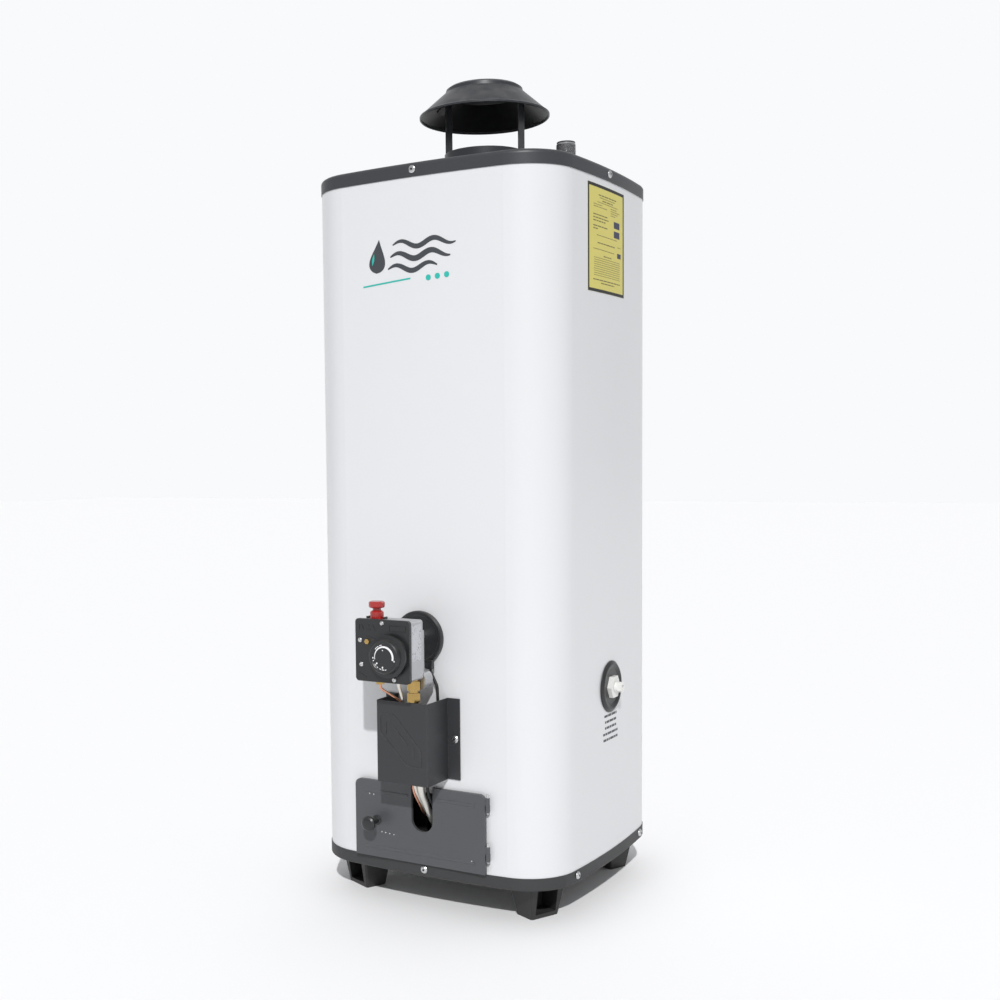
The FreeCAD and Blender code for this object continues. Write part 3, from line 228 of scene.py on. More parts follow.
def makeWearGroup():
    # Marks edges, broken up by noise, where a coating rubs thin or metal is polished.
    group, given, result = newGroup("edgeWear", [
        ("Vector", "NodeSocketVector", None), ("Amount", "NodeSocketFloat", 0.5),
        ("Radius", "NodeSocketFloat", 0.0012), ("Breakup", "NodeSocketFloat", 160.0)], [
        ("Mask", "NodeSocketFloat")])
    bevel = put(group, "ShaderNodeBevel", samples=4)
    link(group, given["Radius"], bevel.inputs["Radius"])
    real = put(group, "ShaderNodeNewGeometry")
    dot = put(group, "ShaderNodeVectorMath", operation="DOT_PRODUCT")
    link(group, bevel.outputs["Normal"], dot.inputs[0])
    link(group, real.outputs["Normal"], dot.inputs[1])
    edge = spread(group, dot.outputs["Value"], 0.995, 0.82)
    broken = put(group, "ShaderNodeTexNoise")
    link(group, given["Vector"], broken.inputs["Vector"])
    link(group, given["Breakup"], broken.inputs["Scale"])
    broken.inputs["Detail"].default_value = 4
    rough = spread(group, broken.outputs["Fac"], 0.38, 0.62)
    link(group, calc(group, "MULTIPLY", calc(group, "MULTIPLY", edge, rough), given["Amount"]),
         result["Mask"])
    return group


def makeDustGroup():
    # Pale dust that settles on faces looking up.
    group, given, result = newGroup("settledDust", [
        ("Vector", "NodeSocketVector", None), ("Colour", "NodeSocketColor", (0.5, 0.5, 0.5, 1)),
        ("Amount", "NodeSocketFloat", 0.2)], [("Colour", "NodeSocketColor")])
    real = put(group, "ShaderNodeNewGeometry")
    split = put(group, "ShaderNodeSeparateXYZ")
    link(group, real.outputs["Normal"], split.inputs[0])
    upward = spread(group, split.outputs["Z"], 0.35, 0.95)
    patch = spread(group, noise(group, given["Vector"], 55, 5), 0.3, 0.75)
    mask = calc(group, "MULTIPLY", calc(group, "MULTIPLY", upward, patch), given["Amount"])
    link(group, blendColour(group, mask, given["Colour"], (0.42, 0.4, 0.37)), result["Colour"])
    return group


def makeSootAndShadeGroup():
    # Soot and painted shade on faces looking down.
    group, given, result = newGroup("sootAndShadeBelow", [
        ("Vector", "NodeSocketVector", None), ("Colour", "NodeSocketColor", (0.5, 0.5, 0.5, 1)),
        ("Amount", "NodeSocketFloat", 0.8)], [("Colour", "NodeSocketColor")])
    real = put(group, "ShaderNodeNewGeometry")
    split = put(group, "ShaderNodeSeparateXYZ")
    link(group, real.outputs["Normal"], split.inputs[0])
    downward = spread(group, split.outputs["Z"], -0.15, -0.5)
    patch = spread(group, noise(group, given["Vector"], 40, 4), 0.2, 0.6, 0.7, 1.0)
    mask = calc(group, "MULTIPLY", calc(group, "MULTIPLY", downward, patch), given["Amount"])
    link(group, blendColour(group, mask, given["Colour"], (0.004, 0.004, 0.004)),
         result["Colour"])
    return group


surfaceGroup = makeSurfaceGroup()
wearGroup = makeWearGroup()
dustGroup = makeDustGroup()
sootAndShadeGroup = makeSootAndShadeGroup()


def startMaterial(name):
    material = bpy.data.materials.new(name)
    material.use_nodes = True
    tree = material.node_tree
    shader = tree.nodes["Principled BSDF"]
    place = put(tree, "ShaderNodeTexCoord").outputs["Object"]
    return material, tree, shader, place


def useGroup(tree, group, vector, **inputs):
    node = put(tree, "ShaderNodeGroup", node_tree=group)
    link(tree, vector, node.inputs["Vector"])
    return feed(tree, node, **inputs).outputs


def addBump(tree, shader, height, strength, distance):
    bump = put(tree, "ShaderNodeBump")
    bump.inputs["Strength"].default_value = strength
    bump.inputs["Distance"].default_value = distance
    link(tree, height, bump.inputs["Height"])
    link(tree, bump.outputs["Normal"], shader.inputs["Normal"])


def coated(name, settings):
    material, tree, shader, place = startMaterial(name)
    base = useGroup(tree, surfaceGroup, place, Colour=(*settings["colour"], 1),
                    Grain_Scale=settings["grain"], Cloud_Scale=settings.get("cloud", 9.0),
                    Tone_Change=settings.get("tone", 0.05), Gloss=settings["rough"],
                    Gloss_Change=settings.get("roughChange", 0.06))
    colour = base["Colour"]
    if settings.get("wear"):
        mask = useGroup(tree, wearGroup, place, Amount=settings["wear"],
                        Radius=settings.get("wearRadius", 0.0012))["Mask"]
        colour = blendColour(tree, mask, colour, settings["worn"])
    if settings.get("dust"):
        colour = useGroup(tree, dustGroup, place, Colour=colour, Amount=settings["dust"])["Colour"]
    # Soot and painted shade darken faces that look down.
    if settings.get("sootAndShade"):
        colour = useGroup(tree, sootAndShadeGroup, place, Colour=colour, Amount=settings["sootAndShade"])["Colour"]
    link(tree, colour, shader.inputs["Base Color"])
    link(tree, base["Roughness"], shader.inputs["Roughness"])
    shader.inputs["Metallic"].default_value = settings.get("metal", 0.0)
    shader.inputs["Coat Weight"].default_value = settings.get("coat", 0.0)
    shader.inputs["Coat Roughness"].default_value = 0.25
    addBump(tree, shader, base["Height"], settings.get("bump", 0.15), settings.get("deep", 0.0002))
    return material


finishes = {
    "jacketEnamel": {"colour": (0.65, 0.655, 0.67), "grain": 420, "cloud": 3.0, "tone": 0.012,
                     "rough": 0.32, "roughChange": 0.05, "bump": 0.06, "coat": 0.25},
    "shieldPaint": {"colour": (0.027, 0.028, 0.031), "grain": 1500, "tone": 0.12, "rough": 0.5,
                    "bump": 0.25, "wear": 0.35, "worn": (0.14, 0.145, 0.15), "dust": 0.12},
    "graphitePaint": {"colour": (0.036, 0.038, 0.043), "grain": 1500, "tone": 0.12, "rough": 0.42,
                      "bump": 0.25, "wear": 0.35, "worn": (0.16, 0.165, 0.17), "dust": 0.12},
    "doorPaint": {"colour": (0.066, 0.069, 0.075), "grain": 1500, "tone": 0.14, "rough": 0.4,
                  "bump": 0.25, "wear": 0.35, "worn": (0.18, 0.185, 0.19), "dust": 0.12},
    "trayPaint": {"colour": (0.030, 0.031, 0.032), "grain": 1500, "tone": 0.14, "rough": 0.56,
                  "bump": 0.25, "wear": 0.3, "worn": (0.12, 0.125, 0.13), "dust": 0.1},
    # The hood's soot amount is soot and painted shade on its underside.
    "hoodPaint": {"colour": (0.022, 0.024, 0.029), "grain": 1200, "tone": 0.15, "rough": 0.38,
                  "bump": 0.2, "wear": 0.5, "worn": (0.3, 0.31, 0.32), "dust": 0.16,
                  "sootAndShade": 0.92},
    "footPlastic": {"colour": (0.020, 0.020, 0.021), "grain": 1800, "tone": 0.2, "rough": 0.5,
                    "bump": 0.3, "wear": 0.5, "worn": (0.05, 0.05, 0.05), "dust": 0.08},
    "controlPlastic": {"colour": (0.017, 0.018, 0.019), "grain": 2400, "tone": 0.2, "rough": 0.36,
                       "bump": 0.25, "wear": 0.35, "worn": (0.07, 0.07, 0.07), "dust": 0.1},
    "redPlastic": {"colour": (0.33, 0.009, 0.008), "grain": 900, "tone": 0.14, "rough": 0.2,
                   "bump": 0.06, "coat": 0.5, "dust": 0.02},
    "whitePlastic": {"colour": (0.72, 0.72, 0.70), "grain": 900, "tone": 0.04, "rough": 0.35,
                     "bump": 0.08, "dust": 0.1},
    "leadRubber": {"colour": (0.012, 0.012, 0.012), "grain": 1600, "tone": 0.2, "rough": 0.45,
                   "bump": 0.2},
    "castMetal": {"colour": (0.50, 0.505, 0.515), "grain": 1300, "cloud": 30, "tone": 0.16,
                  "rough": 0.42, "roughChange": 0.12, "metal": 0.75, "bump": 0.4,
                  "wear": 0.6, "worn": (0.75, 0.75, 0.76)},
    "zincPlate": {"colour": (0.62, 0.62, 0.63), "grain": 1600, "cloud": 60, "tone": 0.16,
                  "rough": 0.28, "roughChange": 0.12, "metal": 1.0, "bump": 0.15},
    "pipeSteel": {"colour": (0.46, 0.46, 0.47), "grain": 900, "cloud": 40, "tone": 0.3,
                  "rough": 0.26, "roughChange": 0.14, "metal": 0.9, "bump": 0.3},
    "machinedBrass": {"colour": (0.46, 0.31, 0.11), "grain": 1200, "cloud": 60, "tone": 0.6,
                      "rough": 0.2, "roughChange": 0.12, "metal": 1.0, "bump": 0.2,
                      "wear": 0.5, "worn": (0.85, 0.7, 0.4)},
    "drawnCopper": {"colour": (0.72, 0.36, 0.24), "grain": 1200, "cloud": 60, "tone": 0.18,
                    "rough": 0.28, "metal": 1.0, "bump": 0.1},
    "drawnAluminium": {"colour": (0.74, 0.72, 0.67), "grain": 1400, "cloud": 50, "tone": 0.1,
                       "rough": 0.3, "metal": 0.9, "bump": 0.12},
    "tankEnamel": {"colour": (0.03, 0.045, 0.07), "grain": 500, "tone": 0.2, "rough": 0.3,
                   "bump": 0.2},
    "stoveBlack": {"colour": (0.006, 0.006, 0.006), "grain": 700, "tone": 0.3, "rough": 0.75,
                   "bump": 0.3},
    "rigidFoam": {"colour": (0.62, 0.52, 0.26), "grain": 260, "cloud": 20, "tone": 0.25,
                  "rough": 0.9, "bump": 0.8, "deep": 0.001},
}
materials = {name: coated(name, settings) for name, settings in finishes.items()}

wearing = {
    "jacketEnamel": ["outer_jacket"],
    "graphitePaint": ["top_cover"],
    "shieldPaint": ["tube_shield"],
    "doorPaint": ["burner_door", "hinge_bracket_upper", "hinge_bracket_lower"],
    "trayPaint": ["bottom_tray"],
    "hoodPaint": ["hood_cap", "flue_collar", "hood_leg_left", "hood_leg_right"],
    "footPlastic": ["foot_front_left", "foot_front_right", "foot_rear_left", "foot_rear_right"],
    "controlPlastic": ["valve_faceplate", "temperature_dial", "valve_escutcheon", "door_knob",
                       "igniter_connector", "drain_escutcheon", "cold_liner", "hot_liner"],
    "redPlastic": ["pilot_button"],
    "whitePlastic": ["drain_valve_body", "drain_spindle", "dip_tube"],
    "leadRubber": ["igniter_lead"],
    "castMetal": ["gas_valve_body"],
    "zincPlate": ["lid_screws", "tray_screws", "shield_screws", "faceplate_screws",
                  "valve_spud", "floor_shield", "burner_bracket", "pilot_burner",
                  "hinge_pin_upper", "hinge_pin_lower", "anode_rod"],
    "pipeSteel": ["cold_water_nipple", "hot_water_nipple"],
    "machinedBrass": ["manifold_fitting", "thermocouple_nut", "pressure_port_plug",
                      "burner_orifice"],
    "drawnCopper": ["thermocouple_lead", "thermostat_probe"],
    "drawnAluminium": ["manifold_tube", "pilot_tube"],
    "tankEnamel": ["tank_shell", "flue_tube", "flue_baffle"],
    "stoveBlack": ["inner_door", "tank_skirt", "burner_head", "burner_venturi"],
    "rigidFoam": ["insulation"],
}
for name, wearers in wearing.items():
    for wearer in wearers:
        nodes[wearer].data.materials.clear()
        nodes[wearer].data.materials.append(materials[name])
print("finishes ready:", len(materials))

# Modelling helpers: thin strips of print, film or raised metal laid on a face.

front = {"crown": 1.4, "face": 0.2}


def crownFall(distance):
    return distance ** 2 / (2 * front["crown"])


def onFront(across, up, lift):
    return across, -front["face"] + crownFall(across) - lift, up


def onRight(across, up, lift):
    return front["face"] - crownFall(across) + lift, across, up


def flatFront(depth, middle=(0, 0)):
    return lambda across, up, lift: (middle[0] + across, -depth - lift, middle[1] + up)


def flatRight(distance):
    return lambda across, up, lift: (distance + lift, across, up)


def deselectAll():
    bpy.ops.object.select_all(action="DESELECT")


def chooseOnly(*pieces):
    deselectAll()
    for piece in pieces:
        piece.select_set(True)
    bpy.context.view_layer.objects.active = pieces[0]


def joinAll(name, pieces):
    chooseOnly(*pieces)
    if len(pieces) > 1:
        bpy.ops.object.join()
    bpy.context.object.name = name
    return bpy.context.object


def applyModifier(piece, kind, **values):
    chooseOnly(piece)
    modifier = piece.modifiers.new(kind.lower(), kind)
    for name, value in values.items():
        setattr(modifier, name, value)
    bpy.ops.object.modifier_apply(modifier=modifier.name)


def turnOutward(piece):
    chooseOnly(piece)
    bpy.ops.object.mode_set(mode="EDIT")
    bpy.ops.mesh.select_all(action="SELECT")
    bpy.ops.mesh.normals_make_consistent(inside=False)
    bpy.ops.object.mode_set(mode="OBJECT")


def strip(points, widths, face, lift, thick, closed=False):
    # A quad strip along points, given across and up in metres, laid on a face.
    count = len(points)
    deselectAll()
    bpy.ops.mesh.primitive_grid_add(x_subdivisions=count - 1, y_subdivisions=1, size=1)
    piece = bpy.context.object
    ordered = sorted(piece.data.vertices, key=lambda v: (round(v.co.x, 5), v.co.y))
    for i in range(count):
        before = points[i - 1] if i or closed else points[i]
        after = points[(i + 1) % count] if i < count - 1 or closed else points[i]
        if closed and i in (0, count - 1):
            before, after = points[-2], points[1]
        run = Vector((after[0] - before[0], after[1] - before[1])).normalized()
        side = Vector((-run.y, run.x)) * widths[i] / 2
        for vertex, sign in ((ordered[2 * i], -1), (ordered[2 * i + 1], 1)):
            vertex.co = face(points[i][0] + sign * side.x, points[i][1] + sign * side.y,
                             lift + thick / 2)
    applyModifier(piece, "SOLIDIFY", thickness=thick, offset=0)
    return piece


def arc(radius, start, end, steps):
    angles = [math.radians(start + (end - start) * i / (steps - 1)) for i in range(steps)]
    return [(radius * math.cos(a), radius * math.sin(a)) for a in angles]


def line(start, end, steps=2):
    return [tuple(a + (b - a) * i / (steps - 1) for a, b in zip(start, end))
            for i in range(steps)]


def outline(corners, corner, steps=5):
    # Closed loop of straight runs whose corners are rounded.
    points = []
    for i, here in enumerate(corners):
        here = Vector(here)
        before = (Vector(corners[i - 1]) - here).normalized() * corner
        after = (Vector(corners[(i + 1) % len(corners)]) - here).normalized() * corner
        for step in range(steps):
            t = step / (steps - 1)
            points.append(tuple(here + before * (1 - t) ** 2 + after * t ** 2))
    return points + points[:1]


def even(width, points):
    return [width] * len(points)


def copies(first, places):
    # The first piece and copies of it with meshes of their own, one at each place.
    made = []
    for place in places:
        piece = first.copy()
        piece.data = first.data.copy()
        bpy.context.collection.objects.link(piece)
        piece.location = place
        chooseOnly(piece)
        bpy.ops.object.transform_apply(location=True, rotation=True, scale=True)
        made.append(piece)
    bpy.data.meshes.remove(first.data)
    return made


def finishPiece(piece, material, body):
    turnOutward(piece)
    piece.data.materials.clear()
    piece.data.materials.append(material)
    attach(piece, body)
    return piece


def mm(*values):
    return tuple(v / 1000 for v in values)


# Printed films and inks.

inkSettings = {
    "graphiteInk": {"colour": (0.045, 0.05, 0.058), "grain": 1600, "tone": 0.15, "rough": 0.45},
    "tealInk": {"colour": (0.02, 0.42, 0.36), "grain": 1600, "tone": 0.1, "rough": 0.4},
    "blackInk": {"colour": (0.012, 0.011, 0.010), "grain": 1600, "tone": 0.2, "rough": 0.5},
    "navyInk": {"colour": (0.03, 0.032, 0.07), "grain": 1600, "tone": 0.2, "rough": 0.45},
    "whiteInk": {"colour": (0.78, 0.78, 0.8), "grain": 1600, "tone": 0.06, "rough": 0.45},
    "oliveInk": {"colour": (0.16, 0.145, 0.05), "grain": 1600, "tone": 0.2, "rough": 0.55},
    "labelFilm": {"colour": (0.60, 0.53, 0.13), "grain": 700, "cloud": 25, "tone": 0.08,
                  "rough": 0.42, "coat": 0.15},
}
materials.update({name: coated(name, settings) for name, settings in inkSettings.items()})
nodes["energy_label"].data.materials.clear()
nodes["energy_label"].data.materials.append(materials["labelFilm"])


def printedFilm():
    # Silver film with faint, broken dark print.
    material, tree, shader, place = startMaterial("printedFilm")
    words = put(tree, "ShaderNodeMapping")
    link(tree, place, words.inputs["Vector"])
    words.inputs["Scale"].default_value = (1, 520, 420)
    broken = spread(tree, noise(tree, words.outputs[0], 1.0, 3), 0.52, 0.66)
    patch = spread(tree, noise(tree, place, 90, 2), 0.4, 0.6, 0.25, 1.0)
    ink = calc(tree, "MULTIPLY", broken, patch)
    base = useGroup(tree, surfaceGroup, place, Colour=(0.56, 0.57, 0.60, 1), Gloss=0.3,
                    Tone_Change=0.08)
    link(tree, blendColour(tree, ink, base["Colour"], (0.12, 0.12, 0.14)),
         shader.inputs["Base Color"])
    link(tree, base["Roughness"], shader.inputs["Roughness"])
    shader.inputs["Metallic"].default_value = 0.35
    addBump(tree, shader, base["Height"], 0.1, 0.0001)
    return material


materials["printedFilm"] = printedFilm()

# Emblem on the front: a drop, three ripples and a teal rule.

emblem = {"dropAcross": -66, "dropLevel": 908, "dropRadius": 15, "dropTip": 31,
          "ripples": ((-40, 58, 929, 7), (-44, 50, 913, 8), (-48, 30, 897, 7)),
          "rippleRise": 4.5, "rippleWave": 52, "rule": ((-90, 876), (-12, 882)),
          "ruleWidth": 2.2, "dots": ((16, 881, 4), (30, 882, 4), (44, 883, 4)), "thick": 0.15}


def dropHalfWidth(t):
    # Half width of the drop from its base, t = 0, to its tip, t = 1.
    return math.sin(math.pi * t ** 0.62) * (1 - 0.38 * t)


def buildEmblem(settings):
    lift, thick = 0.0001, settings["thick"] / 1000
    middle, level = settings["dropAcross"], settings["dropLevel"]
    tall = settings["dropRadius"] + settings["dropTip"]
    spine = [(i / 28) for i in range(29)]
    points = [mm(middle + 5 * (t - 0.3), level - settings["dropRadius"] + tall * t) for t in spine]
    widths = [max(2 * settings["dropRadius"] * dropHalfWidth(t) / 1000, 1e-5) for t in spine]
    dark = [strip(points, widths, onFront, lift, thick)]
    for left, right, up, width in settings["ripples"]:
        run = line((left, up), (right, up), 41)
        wave = [mm(a, b + settings["rippleRise"] * math.sin(
            2 * math.pi * (a - left) / settings["rippleWave"])) for a, b in run]
        taper = [max(width / 1000 * math.sin(math.pi * (i + 0.6) / 41.2) ** 0.5, 1e-5)
                 for i in range(41)]
        dark.append(strip(wave, taper, onFront, lift, thick))
    finishPiece(joinAll("emblem_dark", dark), materials["graphiteInk"], "cabinet")
    start, end = settings["rule"]
    bar = [mm(*point) for point in line(start, end, 16)]
    teal = [strip(bar, even(settings["ruleWidth"] / 1000, bar), onFront, lift, thick)]
    for across, up, radius in settings["dots"]:
        chord = [mm(across - radius + 2 * radius * i / 12, up) for i in range(13)]
        teal.append(strip(chord, [max(2 * radius / 1000 * math.sqrt(
            max(1 - (i / 6 - 1) ** 2, 0)), 1e-5) for i in range(13)], onFront, lift, thick))
    glint = [mm(middle - 8 + 3 * i / 8, level - 4 + 16 * i / 8) for i in range(9)]
    teal.append(strip(glint, [max(0.0034 * math.sin(math.pi * i / 8), 1e-5) for i in range(9)],
                      onFront, lift + thick, thick))
    finishPiece(joinAll("emblem_teal", teal), materials["tealInk"], "cabinet")


buildEmblem(emblem)
print("emblem ready")

# Print on the rating label and the small notice under the drain.

label = {"front": -82, "rear": 44, "low": 862, "high": 1008, "border": 4.2, "lift": 0.32,
         "thick": 0.05, "bold": 1.5, "plain": 0.9, "fine": 0.75,
         "lines": [  # left and right edge and level, as shares from the label's top left
             ("bold", 0.27, 0.76, 0.095), ("plain", 0.30, 0.72, 0.118),
             ("bold", 0.37, 0.66, 0.142), ("plain", 0.24, 0.80, 0.163),
             ("plain", 0.14, 0.36, 0.187), ("plain", 0.14, 0.50, 0.208),
             ("plain", 0.60, 0.78, 0.187), ("plain", 0.60, 0.86, 0.208),
             ("plain", 0.60, 0.80, 0.229), ("plain", 0.60, 0.74, 0.250),
             ("bold", 0.13, 0.50, 0.282), ("bold", 0.13, 0.54, 0.310), ("bold", 0.13, 0.46, 0.338),
             ("bold", 0.13, 0.50, 0.386), ("bold", 0.13, 0.26, 0.412),
             ("plain", 0.22, 0.78, 0.470), ("bold", 0.24, 0.72, 0.540),
             ("plain", 0.80, 0.90, 0.530), ("plain", 0.13, 0.70, 0.600),
             ("bold", 0.40, 0.62, 0.655)]
         + [("fine", 0.15, 0.87, 0.680 + 0.0205 * i) for i in range(9)]
         + [("bold", 0.13, 0.87, 0.885), ("bold", 0.33, 0.70, 0.912)],
         "boxes": [(0.69, 0.86, 0.295, 0.358), (0.69, 0.86, 0.385, 0.448),
                   (0.79, 0.90, 0.588, 0.634)],
         "seed": 11}
notice = {"front": -34, "rear": 20, "top": 266, "step": 8.6, "tall": 3.4, "rows": 5, "seed": 5}


def words(start, end, spacing, chance):
    # Splits a line of print into words.
    at, found = start, []
    while at < end - spacing:
        length = min(chance.uniform(2.5, 9) * spacing, end - at)
        found.append((at, at + length))
        at += length + spacing * 0.9
    return found


def buildLabel(settings):
    chance = random.Random(settings["seed"])
    wide = settings["rear"] - settings["front"]
    tall = settings["high"] - settings["low"]
    lift, thick = settings["lift"] / 1000, settings["thick"] / 1000

    def at(u, v):
        return mm(settings["front"] + wide * u, settings["high"] - tall * v)

    ink, dark = [], []
    half = settings["border"] / 2
    for (a, b) in ((0, 0), (0, 1)):
        run = line(at(0, b), at(1, b), 12)
        offset = -half if b == 0 else half
        run = [(u, v + offset / 1000) for u, v in run]
        dark.append(strip(run, even(settings["border"] / 1000, run), onRight, lift, thick))
    for u, offset in ((0, half), (1, -half)):
        run = [(a + offset / 1000, b) for a, b in line(at(u, 0), at(u, 1), 3)]
        dark.append(strip(run, even(settings["border"] / 1000, run), onRight, lift, thick))
    finishPiece(joinAll("label_border", dark), materials["blackInk"], "cabinet")
    for weight, left, right, level in settings["lines"]:
        high = settings[weight]
        for a, b in words(left * wide, right * wide, high, chance):
            v = settings["high"] - tall * level
            run = line(mm(settings["front"] + a, v), mm(settings["front"] + b, v), 3)
            ink.append(strip(run, even(high / 1000, run), onRight, lift, thick))
    finishPiece(joinAll("label_print", ink), materials["oliveInk"], "cabinet")
    boxes = []
    for left, right, top, low in settings["boxes"]:
        run = line(at(left, (top + low) / 2), at(right, (top + low) / 2), 4)
        boxes.append(strip(run, even(tall * (low - top) / 1000, run), onRight, lift, thick))
    finishPiece(joinAll("label_boxes", boxes), materials["navyInk"], "cabinet")


def buildNotice(settings):
    chance = random.Random(settings["seed"])
    ink = []
    for row in range(settings["rows"]):
        inset = chance.uniform(0, 7)
        level = settings["top"] - settings["step"] * row
        for a, b in words(settings["front"] + inset, settings["rear"] - inset, 1.6, chance):
            run = line(mm(a, level), mm(b, level), 3)
            ink.append(strip(run, even(settings["tall"] / 1000, run), onRight, 0.00004, 0.00006))
    finishPiece(joinAll("drain_notice", ink), materials["graphiteInk"], "cabinet")


buildLabel(label)
buildNotice(notice)
print("label and notice ready")

# Gas control: dial marks, raised marks on the plate, film on the casting, guards.

control = {"dialAcross": 9, "dialLevel": 377.5, "dialFace": 316.2, "plateFace": 300,
           "scaleRadius": 13.9, "scaleStart": 192, "scaleEnd": -14, "scaleThin": 0.8,
           "scaleThick": 2.8, "outerRadius": 16.5, "markThick": 0.12,
           "filmAcross": (-290, -267), "filmUp": (370, 418), "castingSide": 37.0,
           "outerMarks": (  # start and end angle and width
               (142, 118, 0.9), (112, 100, 0.9), (188, 181, 1.6), (200, 195, 1.6),
               (-12, -18, 1.6), (214, 224, 1.0), (230, 238, 1.0), (246, 256, 1.0),
               (260, 272, 1.0), (276, 284, 1.0)),
           "dots": ((218, 2.2, 13.6), (262, 2.5, 13.6), (100, 1.4, 9.4)),  # angle, size, radius
           "raisedHeight": 0.7, "raisedEdge": 0.2,
           "raised": (  # start, end and width of each stroke on the plate
               ((-27.5, 401), (-9, 396.5), 2.4), ((-39, 417), (-39, 410), 1.5),
               ((-35.5, 417), (-32, 410), 1.3), ((-28, 415), (-23, 417), 1.2),
               ((-28, 411), (-21, 411), 1.2), ((-18, 417), (-14, 410), 1.3),
               ((8, 417.5), (33, 417.5), 0.8), ((8, 410.5), (33, 410.5), 0.8),
               ((8, 417.5), (8, 410.5), 0.8), ((33, 417.5), (33, 410.5), 0.8),
               ((-40, 352), (-28, 346), 1.2)),
           "guards": (-35.5, -9.5), "guardLevel": 423, "guardDeep": 281,
           "guardSize": (3.0, 9, 3.4), "guardRise": 1.8, "guardEdge": 0.9}


def buildControl(settings):
    middle = mm(settings["dialAcross"], settings["dialLevel"])
    face = flatFront(settings["dialFace"] / 1000, middle)
    thick = settings["markThick"] / 1000
    scale = arc(settings["scaleRadius"] / 1000, settings["scaleStart"], settings["scaleEnd"], 40)
    thin, wide = settings["scaleThin"], settings["scaleThick"]
    widths = [(thin + (wide - thin) * math.sin(math.pi * min(i / 62, 1)) ** 1.5) / 1000
              for i in range(40)]
    marks = [strip(scale, widths, face, 0.00003, thick)]
    outer = settings["outerRadius"] / 1000
    for start, end, width in settings["outerMarks"]:
        run = arc(outer, start, end, 5)
        marks.append(strip(run, even(width / 1000, run), face, 0.00003, thick))
    for angle, size, radius in settings["dots"]:
        run = arc(radius / 1000, angle - 4, angle + 4, 4)
        marks.append(strip(run, even(size / 1000, run), face, 0.00003, thick))
    finishPiece(joinAll("dial_marks", marks), materials["whiteInk"], "dial")

    plate = flatFront(settings["plateFace"] / 1000)
    raised = []
    for start, end, width in settings["raised"]:
        run = line(mm(*start), mm(*end), 3)
        raised.append(strip(run, even(width / 1000, run), plate, 0,
                            settings["raisedHeight"] / 1000))
    marks = joinAll("plate_marks", raised)
    applyModifier(marks, "BEVEL", width=settings["raisedEdge"] / 1000, segments=2)
    finishPiece(marks, materials["controlPlastic"], "cabinet")

    near, far = settings["filmAcross"]
    low, high = settings["filmUp"]
    run = line(mm((near + far) / 2, low), mm((near + far) / 2, high), 6)
    film = strip(run, even((far - near) / 1000, run), flatRight(settings["castingSide"] / 1000),
                 0.00005, 0.0002)
    film.name = "casting_film"
    finishPiece(film, materials["printedFilm"], "cabinet")

    deselectAll()
    bpy.ops.mesh.primitive_cube_add(size=1)
    guard = bpy.context.object
    guard.scale = mm(*settings["guardSize"])
    bpy.ops.object.transform_apply(location=False, rotation=False, scale=True)
    bpy.ops.object.mode_set(mode="EDIT")
    bpy.ops.mesh.select_all(action="SELECT")
    bpy.ops.mesh.bevel(offset=settings["guardEdge"] / 1000, segments=3, affect="EDGES")
    bpy.ops.object.mode_set(mode="OBJECT")
    level = settings["guardLevel"] + settings["guardRise"]
    guards = copies(guard, [mm(across, -settings["guardDeep"], level)
                            for across in settings["guards"]])
    finishPiece(joinAll("button_guards", guards), materials["controlPlastic"], "cabinet")


buildControl(control)
print("gas control ready")

# Shield emboss, door rivets, painted shade in the screw slots, and pipe threads.

sheetWork = {"shieldFace": 258, "frame": ((-34, 290), (-12, 289.5), (30, 243), (30, 220),
                                         (8, 220.5), (-34, 264)),
             "frameWidth": 2.0, "frameHeight": 0.6, "frameCorner": 5, "frameEdge": 0.25,
             "bars": (((-25, 279), (-25, 262)), ((-12, 272), (9, 250)), ((18, 246), (18, 232))),
             "doorFace": 205.5, "rivetRadius": 1.0, "rivetHigh": 0.6, "rivetEdge": 0.22,
             "rivets": ((-86, 160), (-79, 159.5), (-66, 107), (-60, 106.5), (-53, 106),
                        (-46, 105.5), (78, 86))}


def buildSheetWork(settings):
    face = flatFront(settings["shieldFace"] / 1000)
    loop = outline([mm(*point) for point in settings["frame"]], settings["frameCorner"] / 1000)
    wide = settings["frameWidth"] / 1000
    high = settings["frameHeight"] / 1000
    raised = [strip(loop, even(wide, loop), face, 0, high, closed=True)]
    for start, end in settings["bars"]:
        run = line(mm(*start), mm(*end), 3)
        raised.append(strip(run, even(wide, run), face, 0, high))
    emboss = joinAll("shield_emboss", raised)
    applyModifier(emboss, "BEVEL", width=settings["frameEdge"] / 1000, segments=2)
    finishPiece(emboss, materials["shieldPaint"], "cabinet")

    deselectAll()
    bpy.ops.mesh.primitive_cylinder_add(
        vertices=20, radius=settings["rivetRadius"] / 1000, depth=settings["rivetHigh"] / 1000,
        rotation=(math.pi / 2, 0, 0))
    rivet = bpy.context.object
    bpy.ops.object.mode_set(mode="EDIT")
    bpy.ops.mesh.select_all(action="SELECT")
    bpy.ops.mesh.bevel(offset=settings["rivetEdge"] / 1000, segments=3, affect="EDGES")
    bpy.ops.object.mode_set(mode="OBJECT")
    deep = -settings["doorFace"] - settings["rivetHigh"] / 2
    rivets = copies(rivet, [mm(across, deep, up) for across, up in settings["rivets"]])
    finishPiece(joinAll("door_rivets", rivets), materials["zincPlate"], "door")


slots = {"reach": 3.4, "wide": 1.0, "thick": 0.1, "stand": 0.02,
         "front": ((-7, -203.62, 1027.5), (0, -203.62, 60.8), (-51.4, -203.72, 251.5),
                   (51.4, -203.72, 251.5)),
         "right": ((203.62, -12, 1027.5), (199.09, -118, 60.8), (199.09, 118, 60.8))}
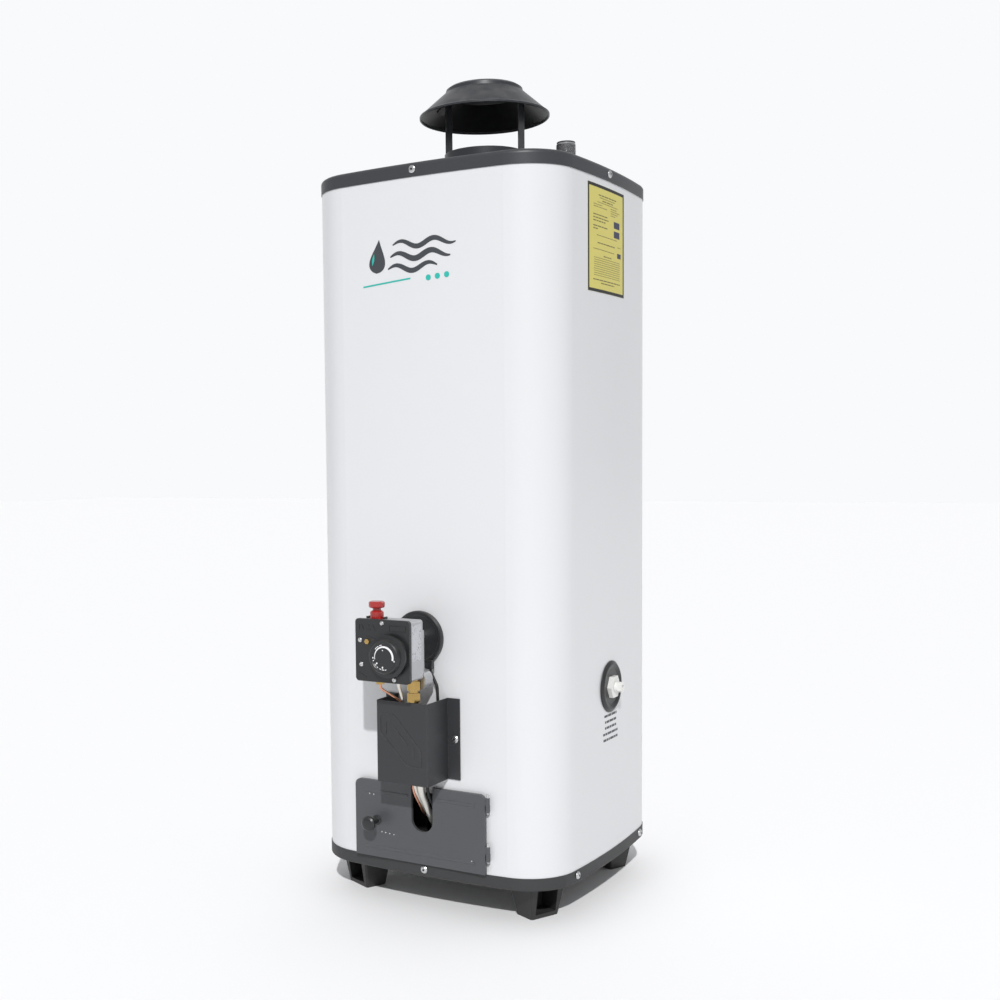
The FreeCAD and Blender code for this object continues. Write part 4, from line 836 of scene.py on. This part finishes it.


# Black crosses on the screw heads are painted shade standing in for the recessed slots.
def buildSlotShade(settings):
    crosses = []
    half = settings["reach"] / 2 / math.sqrt(2)
    for facing, face in (("front", flatFront(0)), ("right", flatRight(0))):
        strokes = []
        for sign in (-1, 1):
            run = line(mm(-half, -sign * half), mm(half, sign * half), 3)
            strokes.append(strip(run, even(settings["wide"] / 1000, run), face,
                                 settings["stand"] / 1000, settings["thick"] / 1000))
        crosses += copies(joinAll("slotShadeCross", strokes), [mm(*spot) for spot in settings[facing]])
    finishPiece(joinAll("screw_slot_painted_shade", crosses), materials["stoveBlack"], "cabinet")


thread = {"across": 130, "radius": 13.35, "root": 13.38, "crest": 14.1, "pitch": 1.8,
          "low": 1063, "turns": 9, "sides": 48}


def buildThreads(settings):
    deselectAll()
    bpy.ops.mesh.primitive_circle_add(vertices=settings["sides"], radius=settings["root"] / 1000,
                                      location=mm(0, 0, settings["low"]))
    ring = bpy.context.object
    bpy.ops.object.mode_set(mode="EDIT")
    bpy.ops.mesh.select_all(action="SELECT")
    grow = settings["crest"] / settings["root"]
    for _ in range(settings["turns"]):
        for scale in (grow, 1 / grow):
            bpy.ops.mesh.extrude_region_move(
                TRANSFORM_OT_translate={"value": (0, 0, settings["pitch"] / 2000)})
            bpy.ops.transform.resize(value=(scale, scale, 1))
    bpy.ops.mesh.extrude_region_move(TRANSFORM_OT_translate={"value": (0, 0, 0)})
    inner = (settings["radius"] - 0.3) / settings["root"]
    bpy.ops.transform.resize(value=(inner, inner, 1))
    bpy.ops.mesh.extrude_region_move(TRANSFORM_OT_translate={
        "value": (0, 0, -settings["pitch"] * settings["turns"] / 1000)})
    bpy.ops.object.mode_set(mode="OBJECT")
    bpy.ops.object.transform_apply(location=True, rotation=True, scale=True)
    bpy.ops.object.mode_set(mode="EDIT")
    bpy.ops.mesh.select_all(action="DESELECT")
    bpy.ops.mesh.select_mode(type="EDGE")
    bpy.ops.mesh.select_non_manifold()
    bpy.ops.mesh.bridge_edge_loops()
    bpy.ops.object.mode_set(mode="OBJECT")
    pair = copies(ring, [mm(sign * settings["across"], 0, 0) for sign in (1, -1)])
    for piece, name in zip(pair, ("cold_thread", "hot_thread")):
        piece.name = name
        finishPiece(piece, materials["pipeSteel"], "cabinet")


buildSheetWork(sheetWork)
buildSlotShade(slots)
buildThreads(thread)
print("sheet work and threads ready")
